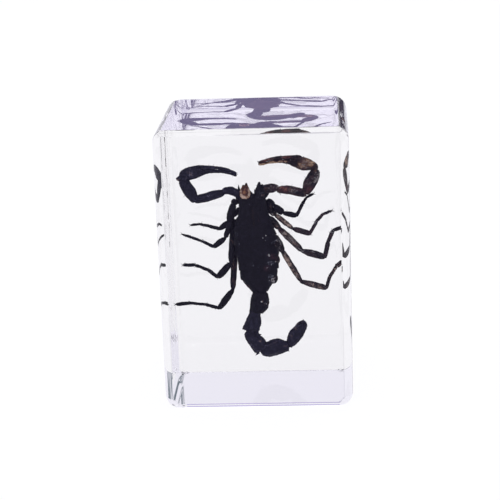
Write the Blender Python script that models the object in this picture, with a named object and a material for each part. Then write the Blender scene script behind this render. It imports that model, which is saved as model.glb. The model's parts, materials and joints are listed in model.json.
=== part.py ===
"""Clear cast resin block of a scorpion paperweight, as Blender solids at real size.

Metres, +Z up. The origin is the middle of the flat base. +X is the block's width and +Y runs
from the viewing face into the block. The specimen is sealed in the resin, so nothing of it is
a solid of its own here: the block is one casting with no opening and no joint.
"""

from math import cos, radians, sin

import bmesh
import bpy
from mathutils import Matrix, Vector

MM = 0.001

# Driving dimensions of the finished block.
WIDTH = 39.5 * MM
DEPTH = 35.5 * MM
HEIGHT = 60.0 * MM

# Resin that is ground off the viewing face and the top after casting.
GROUND_OFF = 0.28 * MM

# Radii that the mould leaves on the edges, by where the edge lies.
TOP_EDGE_RADIUS = 3.2 * MM
LIP_EDGE_RADIUS = 0.5 * MM
UPRIGHT_EDGE_RADIUS = 3.1 * MM
BASE_EDGE_RADIUS = 2.6 * MM
HEEL_EDGE_RADIUS = 0.2 * MM
EDGE_SEGMENTS = 8

# The flat that is ground along the front edge of the top.
LIP_DROP = 1.06 * MM
LIP_TILT_DEG = 38.5

# Look of the resin.
RESIN_COLOUR = (0.93, 0.93, 0.985, 1.0)
RESIN_ROUGHNESS = 0.02
RESIN_IOR = 1.52


def clear_scene():
    """Removes every object, so that the block is the only thing in the scene."""
    for old in list(bpy.data.objects):
        bpy.data.objects.remove(old)


def clear_resin_material():
    """Colourless, polished casting resin."""
    material = bpy.data.materials.new("clear_resin")
    material.use_nodes = True
    shader = material.node_tree.nodes["Principled BSDF"]
    shader.inputs["Base Color"].default_value = RESIN_COLOUR
    shader.inputs["Roughness"].default_value = RESIN_ROUGHNESS
    shader.inputs["Metallic"].default_value = 0.0
    shader.inputs["Transmission Weight"].default_value = 1.0
    shader.inputs["IOR"].default_value = RESIN_IOR
    return material


def edge_radius(edge):
    """The radius that the mould leaves on a box edge: the front of the top and the back of the base are crisp."""
    middle = (edge.verts[0].co + edge.verts[1].co) / 2
    if abs(middle.z - HEIGHT / 2) < HEIGHT / 4:
        return UPRIGHT_EDGE_RADIUS
    if middle.z > HEIGHT / 2:
        return LIP_EDGE_RADIUS if middle.y < -DEPTH / 4 else TOP_EDGE_RADIUS
    return HEEL_EDGE_RADIUS if middle.y > DEPTH / 4 else BASE_EDGE_RADIUS


def cast_mesh(name):
    """The block as cast, before it is ground: a sharp box, its edges weighted by the radius that each is to get."""
    shape = bmesh.new()
    size = Vector((WIDTH, DEPTH + GROUND_OFF, HEIGHT + GROUND_OFF, 1.0))
    place = Matrix.Translation((0, -GROUND_OFF / 2, size.z / 2))
    bmesh.ops.create_cube(shape, size=1.0, matrix=place @ Matrix.Diagonal(size))
    weight = shape.edges.layers.float.new("bevel_weight_edge")
    for edge in shape.edges:
        edge[weight] = edge_radius(edge) / TOP_EDGE_RADIUS
    mesh = bpy.data.meshes.new(name)
    shape.to_mesh(mesh)
    shape.free()
    return mesh


def round_edges(block):
    """Gives the box the radii of its mould, and leaves them in its mesh."""
    rounding = block.modifiers.new("mould_radii", "BEVEL")
    rounding.limit_method = "WEIGHT"
    rounding.width = TOP_EDGE_RADIUS
    rounding.segments = EDGE_SEGMENTS
    rounding.profile = 0.5
    rounding.use_clamp_overlap = False
    evaluated = block.evaluated_get(bpy.context.evaluated_depsgraph_get())
    rounded = bpy.data.meshes.new_from_object(evaluated)
    block.modifiers.clear()
    block.data = rounded
    rounded.name = block.name


def grind(shape, place, outwards):
    """Takes off what lies beyond a plane, and closes the cut with one flat face."""
    everything = [*shape.verts, *shape.edges, *shape.faces]
    cut = bmesh.ops.bisect_plane(
        shape, geom=everything, dist=1e-7, plane_co=place, plane_no=outwards, clear_outer=True
    )
    rim = [edge for edge in cut["geom_cut"] if isinstance(edge, bmesh.types.BMEdge)]
    bmesh.ops.contextual_create(shape, geom=rim)


def grind_flats(block):
    """Grinds the viewing face, the top and the front edge of the top flat."""
    tilt = radians(LIP_TILT_DEG)
    front = Vector((0, -DEPTH / 2, 0))
    top = Vector((0, 0, HEIGHT))
    lip = Vector((0, -DEPTH / 2, HEIGHT - LIP_DROP))
    shape = bmesh.new()
    shape.from_mesh(block.data)
    grind(shape, front, Vector((0, -1, 0)))
    grind(shape, top, Vector((0, 0, 1)))
    grind(shape, lip, Vector((0, -cos(tilt), sin(tilt))))
    bmesh.ops.recalc_face_normals(shape, faces=shape.faces)
    shape.to_mesh(block.data)
    shape.free()


def build_resin_block():
    """The block: cast with rounded edges, then ground flat in front and on top."""
    block = bpy.data.objects.new("resin_block", cast_mesh("resin_block"))
    bpy.context.scene.collection.objects.link(block)
    round_edges(block)
    grind_flats(block)
    block.data.materials.clear()
    block.data.materials.append(clear_resin_material())
    return block


def main():
    clear_scene()
    build_resin_block()


main()
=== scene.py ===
"""A scorpion sealed in a block of clear resin: the finished looks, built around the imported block.

The block is one casting of clear resin with polished, rounded edges. The specimen in it is a dried scorpion
with slender pincers. Its back is towards the viewing face, and its tail curls to one side.

Frame: +X is the block's width, +Y runs from the viewing face into the block, and +Z is up. The specimen is
modelled on the bench at a thousand times its size, where one unit is one millimetre, and each finished
piece is then brought down to its real size. On the bench a limb is drawn out along +Z with its back to +Y,
and then laid between two points of the specimen.
"""

import sys
import json
import logging
import math
import random
from collections.abc import Callable, Iterator, Sequence
from contextlib import contextmanager
from dataclasses import dataclass, field
from enum import Enum
from functools import cache
from itertools import pairwise

import bpy
import numpy as np
from mathutils import Matrix, Vector

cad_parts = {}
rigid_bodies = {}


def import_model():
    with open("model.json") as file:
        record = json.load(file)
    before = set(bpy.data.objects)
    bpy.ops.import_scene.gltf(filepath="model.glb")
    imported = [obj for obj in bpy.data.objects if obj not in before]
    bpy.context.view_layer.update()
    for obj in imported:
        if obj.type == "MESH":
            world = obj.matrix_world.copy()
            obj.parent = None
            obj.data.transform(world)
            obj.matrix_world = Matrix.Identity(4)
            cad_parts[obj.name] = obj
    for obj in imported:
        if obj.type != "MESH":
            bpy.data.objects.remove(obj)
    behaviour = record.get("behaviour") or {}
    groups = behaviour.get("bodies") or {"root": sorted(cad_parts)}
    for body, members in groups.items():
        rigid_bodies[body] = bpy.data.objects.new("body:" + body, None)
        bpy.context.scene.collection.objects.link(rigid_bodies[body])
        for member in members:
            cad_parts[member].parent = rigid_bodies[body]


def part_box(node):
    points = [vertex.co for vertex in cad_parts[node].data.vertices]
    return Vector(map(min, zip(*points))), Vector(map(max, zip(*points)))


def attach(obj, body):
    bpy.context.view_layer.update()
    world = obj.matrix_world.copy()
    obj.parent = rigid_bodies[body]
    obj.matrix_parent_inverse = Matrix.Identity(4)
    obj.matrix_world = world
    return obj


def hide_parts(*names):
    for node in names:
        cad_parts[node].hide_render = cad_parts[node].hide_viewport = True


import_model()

LOG = logging.getLogger("resin_block")

MM = 0.001
ROOT_BODY = "root"
ORIGIN = (0.0, 0.0, 0.0)
TOWARDS_VIEWER = (0.0, -1.0, 0.0)
LEFT, RIGHT = -1.0, 1.0

Place = tuple[float, float, float] | Vector
Colour = tuple[float, float, float]
Part = bpy.types.Object
Socket = bpy.types.NodeSocket


# The bench: blank pieces, and the operators that shape them.


@dataclass(frozen=True)
class Ring:
    """One cross-section of a limb or a plate, in millimetres on the bench.

    Attributes:
        along: how far along the piece the section lies.
        wide: half of its size across, seen from the back.
        deep: half of its size from back to belly.
        aside: how far its middle lies off the axis, across.
        raised: how far its middle lies off the axis, towards the back.
    """

    along: float
    wide: float
    deep: float
    aside: float = 0.0
    raised: float = 0.0

    @property
    def middle(self) -> Vector:
        """The middle of the section."""
        return Vector((self.aside, self.raised, self.along))

    def angle_of(self, point: Vector) -> float:
        """Degrees round the section from its back (+Y) to a point on it, towards +X."""
        across = (point.x - self.aside) / self.wide
        return math.degrees(math.atan2(across, (point.y - self.raised) / self.deep))


def clear_selection() -> None:
    """Deselects everything, because an operator acts on all that is selected."""
    bpy.ops.object.select_all(action="DESELECT")


def take(piece: Part) -> None:
    """Selects one piece, and nothing else, for the next operator."""
    clear_selection()
    piece.select_set(True)
    bpy.context.view_layer.objects.active = piece


@contextmanager
def editing(piece: Part, picks: Callable[[Vector], bool] | None = None) -> Iterator[None]:
    """Opens a piece in edit mode.

    Args:
        piece: the piece to shape.
        picks: says of a vertex, by its place, whether it is selected. Without it everything is.

    Yields:
        Nothing: the piece is in edit mode until the block ends.
    """
    take(piece)
    bpy.ops.object.mode_set(mode="EDIT")
    bpy.ops.mesh.select_mode(type="VERT")
    bpy.ops.mesh.select_all(action="SELECT" if picks is None else "DESELECT")
    if picks is not None:
        bpy.ops.object.mode_set(mode="OBJECT")
        for vertex in piece.data.vertices:
            vertex.select = picks(vertex.co)
        bpy.ops.object.mode_set(mode="EDIT")
    yield
    bpy.ops.object.mode_set(mode="OBJECT")


def face_outwards(piece: Part) -> None:
    """Turns every face of a closed piece outwards."""
    with editing(piece):
        bpy.ops.mesh.normals_make_consistent(inside=False)


def blank_disc(name: str, sides: int, filled: bool) -> Part:
    """Adds a unit disc or hoop as the start of a new piece.

    Args:
        name: the piece's name.
        sides: how many corners it has.
        filled: whether it has a face.

    Returns:
        The new piece.
    """
    clear_selection()
    fill = "NGON" if filled else "NOTHING"
    bpy.ops.mesh.primitive_circle_add(vertices=sides, radius=1.0, fill_type=fill)
    piece = bpy.context.active_object
    piece.name = piece.data.name = name
    return piece


def extrude_through(stations: Sequence[Ring], swell: float) -> None:
    """Resizes what is selected to the first section, then extrudes it from section to section.

    Args:
        stations: the sections, in order.
        swell: what the sections are enlarged by, because subdivision shrinks them again.
    """
    first = stations[0]
    bpy.ops.transform.resize(value=(first.wide * swell, first.deep * swell, 1.0), center_override=ORIGIN)
    bpy.ops.transform.translate(value=first.middle)
    for last, ring in pairwise(stations):
        bpy.ops.mesh.extrude_region_move(TRANSFORM_OT_translate={"value": ring.middle - last.middle})
        growth = (ring.wide / last.wide, ring.deep / last.deep, 1.0)
        bpy.ops.transform.resize(value=growth, center_override=ring.middle)


def subdivision_swell(sides: int) -> float:
    """How much a ring of so many corners is enlarged to keep its size when it is subdivided."""
    return 3.0 / (2.0 + math.cos(2.0 * math.pi / sides))


@dataclass(frozen=True)
class Keels:
    """Ridges that run the length of a limb.

    Attributes:
        angles: where they lie, in degrees round the limb from its back. The other side mirrors them.
        height: the limb's size at a keel, over its size elsewhere.
    """

    angles: tuple[float, ...] = ()
    height: float = 1.1

    def hold(self, angle: float) -> bool:
        """Whether a keel lies within two degrees of this angle."""
        aside = abs(math.remainder(angle, 360.0))
        return any(abs(aside - keel) < 2.0 for keel in self.angles)


NO_KEELS = Keels()
UNIT_RING = Ring(0.0, 1.0, 1.0)


def draw_out(name: str, stations: Sequence[Ring], sides: int = 16, keels: Keels = NO_KEELS) -> Part:
    """Draws a limb out of a disc, which is extruded and resized from section to section.

    Args:
        name: the piece's name.
        stations: the limb's sections, in order along +Z.
        sides: corners of each section.
        keels: its long ridges. Their vertices go into the group "keels".

    Returns:
        The limb, closed at both ends.
    """
    limb = blank_disc(name, sides, filled=True)
    with editing(limb, lambda at: keels.hold(UNIT_RING.angle_of(at))):
        bpy.ops.transform.resize(value=(keels.height, keels.height, 1.0), center_override=ORIGIN)
        bpy.ops.mesh.select_all(action="SELECT")
        extrude_through(stations, subdivision_swell(sides))
    face_outwards(limb)
    group = limb.vertex_groups.new(name="keels")
    for vertex in limb.data.vertices if keels.angles else ():
        ring = min(stations, key=lambda station: abs(station.along - vertex.co.z))
        if keels.hold(ring.angle_of(vertex.co)):
            group.add([vertex.index], 1.0, "REPLACE")
    return limb


def arch(name: str, stations: Sequence[Ring], half_angle: float, thickness: float, sides: int = 32) -> Part:
    """Makes an arched plate: part of a hoop, drawn out from section to section and given a thickness.

    Args:
        name: the piece's name.
        stations: the sections of the whole hoop, in order along +Z.
        half_angle: how far round the plate reaches on each side of its back, in degrees.
        thickness: how thick the plate is, measured inwards.
        sides: corners of the whole hoop.

    Returns:
        The plate, a closed shell.
    """
    plate = blank_disc(name, sides, filled=False)
    with editing(plate, lambda at: abs(UNIT_RING.angle_of(at)) > half_angle):
        bpy.ops.mesh.delete(type="VERT")
    with editing(plate):
        extrude_through(stations, subdivision_swell(sides))
    middle = stations[0].middle
    if sum(face.normal.dot(face.center - middle) for face in plate.data.polygons) < 0.0:
        with editing(plate):
            bpy.ops.mesh.flip_normals()
    thicken = add_modifier(plate, "SOLIDIFY")
    thicken.thickness = thickness
    thicken.offset = -1.0
    apply_modifiers(plate)
    face_outwards(plate)
    return plate


def add_modifier(piece: Part, kind: str) -> bpy.types.Modifier:
    """Adds a modifier to a piece and returns it."""
    take(piece)
    bpy.ops.object.modifier_add(type=kind)
    return piece.modifiers[-1]


def apply_modifiers(piece: Part) -> None:
    """Applies every modifier of a piece, in order."""
    take(piece)
    for name in [modifier.name for modifier in piece.modifiers]:
        bpy.ops.object.modifier_apply(modifier=name)


def subdivide(piece: Part, levels: int) -> None:
    """Rounds a piece by subdividing its surface."""
    smooth = add_modifier(piece, "SUBSURF")
    smooth.levels = smooth.render_levels = levels
    apply_modifiers(piece)


class Grain(Enum):
    """Ways in which a surface is uneven: the kind of solid texture that pushes it in and out."""

    GRANULES = "VORONOI"
    WRINKLES = "STUCCI"
    SWELLS = "CLOUDS"


def roughen(piece: Part, grain: Grain, size: float, height: float, group: str = "") -> None:
    """Pushes the surface of a piece in and out.

    Args:
        piece: the piece, on the bench.
        grain: the kind of unevenness.
        size: how far apart its bumps are, in millimetres.
        height: how high they stand, in millimetres.
        group: the vertices that it is kept to, by the name of their group.
    """
    texture = bpy.data.textures.new(f"{piece.name}_{grain.name.lower()}", type=grain.value)
    texture.noise_scale = size
    push = add_modifier(piece, "DISPLACE")
    push.texture = texture
    push.texture_coords = "LOCAL"
    push.mid_level = 0.5
    push.strength = -height if grain is Grain.GRANULES else height
    push.vertex_group = group
    apply_modifiers(piece)
    bpy.data.textures.remove(texture)


def lie(start: Place, end: Place, back: Place = TOWARDS_VIEWER) -> Matrix:
    """The place and turn of a limb that is laid between two points.

    Args:
        start: where its first end goes.
        end: the point that its other end is aimed at.
        back: which way its back is turned, as nearly as its direction allows.

    Returns:
        The matrix that takes the bench's +Z to the limb's direction and its +Y to the back.
    """
    axis = (Vector(end) - Vector(start)).normalized()
    across = Vector(back).cross(axis).normalized()
    turn = Matrix((across, axis.cross(across), axis)).transposed().to_4x4()
    return Matrix.Translation(start) @ turn


def settle(piece: Part, matrix: Matrix) -> Part:
    """Moves a piece by a matrix and leaves its place in its mesh.

    Args:
        piece: the piece.
        matrix: its place and turn.

    Returns:
        The same piece.
    """
    take(piece)
    piece.matrix_world = matrix
    bpy.ops.object.transform_apply(location=True, rotation=True, scale=True)
    return piece


def copy_of(piece: Part) -> Part:
    """Copies a piece, with a mesh of its own."""
    take(piece)
    bpy.ops.object.duplicate(linked=False)
    return bpy.context.active_object


def joined(name: str, parts: Sequence[Part]) -> Part:
    """Joins parts into one piece.

    Args:
        name: what the piece is called.
        parts: the parts, of which the first takes in the others.

    Returns:
        The piece.
    """
    take(parts[0])
    for part in parts:
        part.select_set(True)
    if len(parts) > 1:
        bpy.ops.object.join()
    piece = bpy.context.active_object
    piece.name = piece.data.name = name
    return piece


def spike(start: Place, end: Place, radius: float, curl: float = 0.0, sides: int = 6) -> Part:
    """A tapering spike, such as a claw, a tooth or a spine.

    Args:
        start: the middle of its root.
        end: its tip.
        radius: its radius at the root.
        curl: how far it bows to one side, as a share of its length.
        sides: corners of its sections.

    Returns:
        The spike.
    """
    length = (Vector(end) - Vector(start)).length
    steps, taper, fullness = 5, 0.93, 1.3
    rings = []
    for step in range(steps + 1):
        share = step / steps
        girth = radius * (1.0 - taper * share**fullness)
        rings.append(Ring(share * length, girth, girth, curl * length * math.sin(math.pi * share)))
    return settle(draw_out("spike", rings, sides), lie(start, end))


def dome(at: Place, radius: float, flatness: float = 0.8) -> Part:
    """A low dome, a little longer than it is wide, such as an eye.

    Args:
        at: its middle, on the bench.
        radius: its radius.
        flatness: its height over its radius, along +Y.

    Returns:
        The dome.
    """
    clear_selection()
    bpy.ops.mesh.primitive_uv_sphere_add(segments=20, ring_count=12, radius=radius, location=at)
    piece = bpy.context.active_object
    bpy.ops.object.transform_apply(location=True, rotation=True, scale=True)
    length = 1.15
    with editing(piece):
        bpy.ops.transform.resize(value=(1.0, flatness, length), center_override=at)
    return piece


def grow_bristles(piece: Part, count: int, length: float, seed: int) -> Part:
    """Grows short stiff bristles on a piece, each leaning a little from the surface.

    Their faces are drawn from a list in the order of their places, because subdivision numbers them
    differently on each run.

    Args:
        piece: the piece, on the bench.
        count: how many bristles it gets.
        length: how long they are, in millimetres.
        seed: what their places are drawn from.

    Returns:
        The piece, with its bristles joined to it.
    """
    draw = random.Random(seed)
    root = 0.035
    middle, tip = 0.6 * root, 0.12 * root
    most_lean, shortest = 0.5, 0.5
    rings = [Ring(0.0, root, root), Ring(0.5, middle, middle, 0.03), Ring(1.0, tip, tip, 0.12)]
    master = draw_out("bristle", rings, sides=4)
    name = piece.name
    parts = [piece]
    faces = sorted((tuple(face.center), tuple(face.normal)) for face in piece.data.polygons)
    for centre, normal in draw.sample(faces, count):
        lean = Vector([draw.uniform(-most_lean, most_lean) for _ in range(3)])
        turn = (Vector(normal) + lean).to_track_quat("Z", "Y").to_matrix().to_4x4()
        size = Matrix.Diagonal((1.0, 1.0, length * draw.uniform(shortest, 1.0), 1.0))
        parts.append(settle(copy_of(master), Matrix.Translation(centre) @ turn @ size))
    bpy.data.objects.remove(master)
    return joined(name, parts)


class Trace(Enum):
    """What marks a place of the cuticle: pale or rusty stains, or more painted highlights on its grains. Each
    goes by the name of the attribute that says how much.
    """

    PALE = "shown"
    RUST = "rusty"
    # Places where more highlights are painted on the grains.
    GRIT = "gritty"


RUST, GRIT = Trace.RUST, Trace.GRIT


@dataclass(frozen=True)
class StainOrGlint:
    """A marked place of the cuticle: the inside shows pale through it, or it is rusty, or more highlights are
    painted on its grains.

    Attributes:
        across: its middle along X, in millimetres.
        up: its middle along Z.
        reach: how far it spreads.
        strength: how much it shows, from 0 to 1.
        trace: what marks it.
    """

    across: float
    up: float
    reach: float
    strength: float = 1.0
    trace: Trace = Trace.PALE


def streak(start: tuple[float, float], end: tuple[float, float], reach: float, strength: float = 1.0,
           trace: Trace = Trace.PALE) -> tuple[StainOrGlint, ...]:
    """Stains, or places where more highlights are painted, in a row, which run together into a streak.

    Args:
        start: where it starts, across and up.
        end: where it ends.
        reach: how wide it is.
        strength: how much it shows.
        trace: what marks it.

    Returns:
        The marked places.
    """
    gaps = max(1, round(math.dist(start, end) / reach))
    overlap = 1.6
    made = []
    for step in range(gaps + 1):
        across, up = (first + (last - first) * step / gaps for first, last in zip(start, end))
        made.append(StainOrGlint(across, up, reach, strength / overlap, trace))
    return tuple(made)


def write_stains_and_glints(piece: Part, stains_and_glints: Sequence[StainOrGlint], overall: float = 0.0) -> None:
    """Writes at each vertex of a piece, from 0 to 1, how pale and rusty the cuticle is, and how many
    highlights are painted on its grains.

    A mark shows fully where the skin faces the viewer, and not at all where it faces away.

    Args:
        piece: the piece, on the bench and in its place.
        stains_and_glints: its stains, and the places where more highlights are painted.
        overall: how pale it is everywhere else.
    """
    edge_on, fade = 0.1, 2.5
    places = np.empty(3 * len(piece.data.vertices), np.float32)
    piece.data.vertices.foreach_get("co", places)
    places = places.reshape(-1, 3)
    normals = np.empty(places.size, np.float32)
    piece.data.vertex_normals.foreach_get("vector", normals)
    facing = (edge_on - fade * normals[1::3]).clip(0.0, 1.0)
    for trace in Trace:
        amount = np.full(len(places), overall if trace is Trace.PALE else 0.0)
        for stain_or_glint in (stain_or_glint for stain_or_glint in stains_and_glints if stain_or_glint.trace is trace):
            distance = np.hypot(places[:, 0] - stain_or_glint.across, places[:, 2] - stain_or_glint.up)
            amount += stain_or_glint.strength * facing * np.exp(-((distance / stain_or_glint.reach) ** 2))
        layer = piece.data.attributes.new(trace.value, "FLOAT", "POINT")
        layer.data.foreach_set("value", amount.clip(0.0, 1.0))


# Finishes.


class Wiring:
    """A short way to write the nodes of a material or of the light, and the links between them."""

    def __init__(self, owner: bpy.types.Material | bpy.types.World, shader: str = "Principled BSDF") -> None:
        """Starts on the nodes that a new material or world has.

        Args:
            owner: what the nodes belong to.
            shader: the name of its shader's node.
        """
        owner.use_nodes = True
        self.tree = owner.node_tree
        self.shader = self.tree.nodes[shader]

    def add(self, kind: str, **settings: object) -> bpy.types.Node:
        """Adds a node.

        Args:
            kind: the node's type, without the words ShaderNode.
            settings: its own settings, by name.

        Returns:
            The node.
        """
        node = self.tree.nodes.new(f"ShaderNode{kind}")
        for name, value in settings.items():
            setattr(node, name, value)
        return node

    def link(self, source: Socket, target: Socket) -> None:
        """Links one socket to another."""
        self.tree.links.new(source, target)

    def feed(self, socket: Socket, value: Socket | Colour | float) -> None:
        """Feeds a socket.

        Args:
            socket: the socket.
            value: the socket that it is linked to, or a colour or number of its own.
        """
        if isinstance(value, Socket):
            self.link(value, socket)
        elif isinstance(value, tuple):
            socket.default_value = (*value, 1.0)
        else:
            socket.default_value = value

    def give(self, name: str, value: Socket | Colour | float) -> None:
        """Feeds one of the shader's sockets, by its name."""
        self.feed(self.shader.inputs[name], value)

    def pattern(self, kind: str, size: float, where: str = "Object", **values: float) -> bpy.types.Node:
        """Adds a solid pattern.

        Args:
            kind: the texture node's type, without the words ShaderNode.
            size: the size of its patches, in the unit of its coordinates.
            where: which coordinates it lies on.
            values: its other values, by the names of their sockets.

        Returns:
            The texture's node.
        """
        node = self.add(kind)
        for name, value in (("Scale", 1.0 / size), *values.items()):
            self.feed(node.inputs[name], value)
        self.link(self.add("TexCoord").outputs[where], node.inputs["Vector"])
        return node

    def noise(self, size: float, detail: float = 3.0, roughness: float = 0.55) -> Socket:
        """A cloudy pattern, from 0 to 1.

        Args:
            size: the size of its patches, in metres.
            detail: how many finer layers it has.
            roughness: how strong those are.

        Returns:
            The pattern's socket.
        """
        return self.pattern("TexNoise", size, Detail=detail, Roughness=roughness).outputs["Fac"]

    def reckon(self, operation: str, *values: Socket | float) -> Socket:
        """Works out a number.

        Args:
            operation: what is done.
            values: what it is done to, as sockets or numbers.

        Returns:
            The result's socket.
        """
        node = self.add("Math", operation=operation)
        for socket, value in zip(node.inputs, values):
            self.feed(socket, value)
        return node.outputs["Value"]

    def steps(self, source: Socket, *stops: tuple[float, Colour]) -> Socket:
        """Turns a pattern into colours.

        Args:
            source: the pattern.
            stops: values of the pattern, each with its colour.

        Returns:
            The colour's socket.
        """
        ramp = self.add("ValToRGB")
        elements = ramp.color_ramp.elements
        while len(elements) < len(stops):
            elements.new(0.5)
        for element, (value, colour) in zip(elements, stops):
            element.position = value
            element.color = (*colour, 1.0)
        self.link(source, ramp.inputs["Fac"])
        return ramp.outputs["Color"]

    def mix(self, share: Socket, under: Socket | Colour, over: Socket | Colour) -> Socket:
        """Lays a colour over another.

        Args:
            share: how much the colour on top covers.
            under: the colour below.
            over: the colour on top.

        Returns:
            The colour's socket.
        """
        node = self.add("Mix", data_type="RGBA")
        first_colour, second_colour, mixed_colour = 6, 7, 2
        self.link(share, node.inputs["Factor"])
        self.feed(node.inputs[first_colour], under)
        self.feed(node.inputs[second_colour], over)
        return node.outputs[mixed_colour]

    def attribute(self, name: str) -> Socket:
        """The value of one of the mesh's attributes."""
        return self.add("Attribute", attribute_name=name).outputs["Fac"]

    def spread(self, source: Socket, start: float, stop: float, low: float = 0.0, high: float = 1.0,
               course: str = "LINEAR") -> Socket:
        """Stretches part of a pattern over a range, and holds what lies outside it.

        Args:
            source: the pattern.
            start: the value that becomes low.
            stop: the value that becomes high.
            low: the result's first end.
            high: the result's other end.
            course: how it goes from one end to the other, by the node's own word.

        Returns:
            The result's socket.
        """
        remap = self.add("MapRange", interpolation_type=course)
        for name, value in (("From Min", start), ("From Max", stop), ("To Min", low), ("To Max", high)):
            remap.inputs[name].default_value = value
        self.link(source, remap.inputs["Value"])
        return remap.outputs["Result"]

    def relief(self, source: Socket, height: float, strength: float) -> None:
        """Gives the shader a fine relief.

        Args:
            source: the pattern that it follows.
            height: its height in metres.
            strength: how much of it shows.
        """
        bump = self.add("Bump")
        bump.inputs["Strength"].default_value = strength
        bump.inputs["Distance"].default_value = height
        self.link(source, bump.inputs["Height"])
        self.give("Normal", bump.outputs["Normal"])


@dataclass(frozen=True)
class ResinFinish:
    """Clear casting resin, polished: see-through, with a faint tint that grows with depth.

    Attributes:
        name: the material's name.
        slot: the record's material slot. It is not used.
        ior: its refraction.
        tint: colour that light takes on in it, the more the farther it goes.
        tint_density: how quickly it takes it on.
        polish: what a polished surface lets through.
        haze: lowest and highest roughness of the polish.
        dull: roughness that full wear adds.
        dust: colour of what clings to worn places.
        wave: how far apart the slow waves of its surface are.
        wave_height: how high they are.
    """

    name: str = "casting_resin"
    slot: str = "clear_resin"
    ior: float = 1.52
    tint: Colour = (0.785, 0.767, 0.812)
    tint_density: float = 4.0
    polish: Colour = (0.953, 0.949, 0.959)
    haze: tuple[float, float] = (0.0, 0.01)
    dull: float = 0.3
    dust: Colour = (0.3, 0.29, 0.34)
    wave: float = 7.0 * MM
    wave_height: float = 0.003 * MM

    def material(self) -> bpy.types.Material:
        """Makes the material. Where the attribute "worn" is 1, the polish is gone and dust clings to it."""
        made = bpy.data.materials.new(self.name)
        wiring = Wiring(made)
        least_handled = 0.1
        handled = wiring.spread(wiring.noise(2.0 * self.wave), 0.42, 0.58, least_handled)
        worn = wiring.reckon("MULTIPLY", wiring.attribute("worn"), handled)
        wiring.give("Base Color", wiring.steps(worn, (0.0, self.polish), (1.0, self.dust)))
        wiring.give("IOR", self.ior)
        wiring.give("Transmission Weight", 1.0)
        haze = wiring.spread(wiring.noise(3.0 * self.wave), 0.4, 0.7, *self.haze)
        wiring.give("Roughness", wiring.reckon("MULTIPLY_ADD", worn, self.dull, haze))
        wiring.relief(wiring.noise(self.wave, detail=1.0), self.wave_height, strength=1.0)
        depth = wiring.add("VolumeAbsorption")
        wiring.feed(depth.inputs["Color"], self.tint)
        wiring.feed(depth.inputs["Density"], self.tint_density)
        wiring.link(depth.outputs["Volume"], wiring.tree.nodes["Material Output"].inputs["Volume"])
        return made


@dataclass(frozen=True)
class CuticleFinish:
    """Dried cuticle sealed in resin: granular, in patches from its darkest to its palest colour, with small
    painted highlights on its grains.

    Attributes:
        name: the material's name.
        slot: the record's material slot. It is not used.
        dark: colour of the thick cuticle.
        middle: colour where it thins out.
        warm: colour where the inside begins to show.
        pale: colour where the inside shows fully.
        glint: colour of the small highlights painted on its grains.
        glint_from: how strong the grains' pattern is where a painted highlight starts. A lower one paints
            more highlights.
        rust: colour of the reddish clouds, and of where a rusty place begins.
        ember: colour where a rusty place is strongest.
        rust_share: how much the clouds cover.
        mottle: how far the cloudy patches alone take it from dark to pale.
        patch: size of the patches, in metres.
        grain: size of the grains, in metres.
        sheen: lowest and highest roughness.
        ior: refraction against the resin that lies on it, so a low one.
    """

    name: str
    slot: str
    dark: Colour
    middle: Colour
    warm: Colour
    pale: Colour
    glint: Colour = (0.16, 0.17, 0.22)
    glint_from: float = 1.1
    rust: Colour = (0.055, 0.024, 0.034)
    ember: Colour = (0.2, 0.085, 0.07)
    rust_share: float = 0.0
    mottle: float = 0.55
    patch: float = 0.9 * MM
    grain: float = 0.2 * MM
    sheen: tuple[float, float] = (0.35, 0.7)
    ior: float = 1.16

    def material(self) -> bpy.types.Material:
        """Makes the material."""
        made = bpy.data.materials.new(self.name)
        wiring = Wiring(made)
        shown, rusty, gritty = (wiring.attribute(trace.value) for trace in Trace)
        patches = wiring.spread(wiring.noise(self.patch, detail=5.0, roughness=0.65), 0.35, 0.72)
        weakest, strongest = 0.25, 1.5
        fibres = wiring.noise(2.0 * self.grain, detail=4.0, roughness=0.7)
        streaks = wiring.spread(fibres, 0.36, 0.64, weakest, strongest)
        thin = wiring.reckon("MULTIPLY", shown, streaks)
        level = wiring.reckon("MULTIPLY_ADD", patches, self.mottle, thin)
        colour = wiring.steps(level, (0.2, self.dark), (0.5, self.middle), (0.8, self.warm), (1.0, self.pale))
        clouds = wiring.spread(wiring.noise(1.4 * self.patch, detail=2.0), 0.5, 0.62, 0.0, self.rust_share)
        colour = wiring.mix(clouds, colour, self.rust)
        glow = wiring.reckon("MULTIPLY", rusty, streaks)
        embers = wiring.steps(glow, (0.4, self.rust), (1.0, self.ember))
        colour = wiring.mix(wiring.spread(glow, 0.05, 0.45), colour, embers)
        # Painted highlights: specks of the glint colour where the grains' pattern is strong, more of them
        # where the cuticle is pale or marked for painted glints.
        shown_share, painted_glint_share, zone_share, edge = 0.15, 0.3, 0.6, 0.06
        zones = wiring.reckon("MULTIPLY_ADD", shown, shown_share, wiring.noise(2.0 * self.patch, detail=1.0))
        zones = wiring.reckon("MULTIPLY_ADD", gritty, painted_glint_share, zones)
        grains = wiring.reckon("MULTIPLY_ADD", zones, zone_share, wiring.noise(self.grain, detail=2.0))
        lights = wiring.spread(grains, self.glint_from, self.glint_from + edge)
        wiring.give("Base Color", wiring.mix(lights, colour, self.glint))
        wiring.give("Roughness", wiring.spread(patches, 0.0, 1.0, *self.sheen))
        wiring.give("IOR", self.ior)
        pits = wiring.pattern("TexVoronoi", 0.7 * self.grain)
        wiring.relief(pits.outputs["Distance"], height=0.03 * MM, strength=0.6)
        return made


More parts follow.
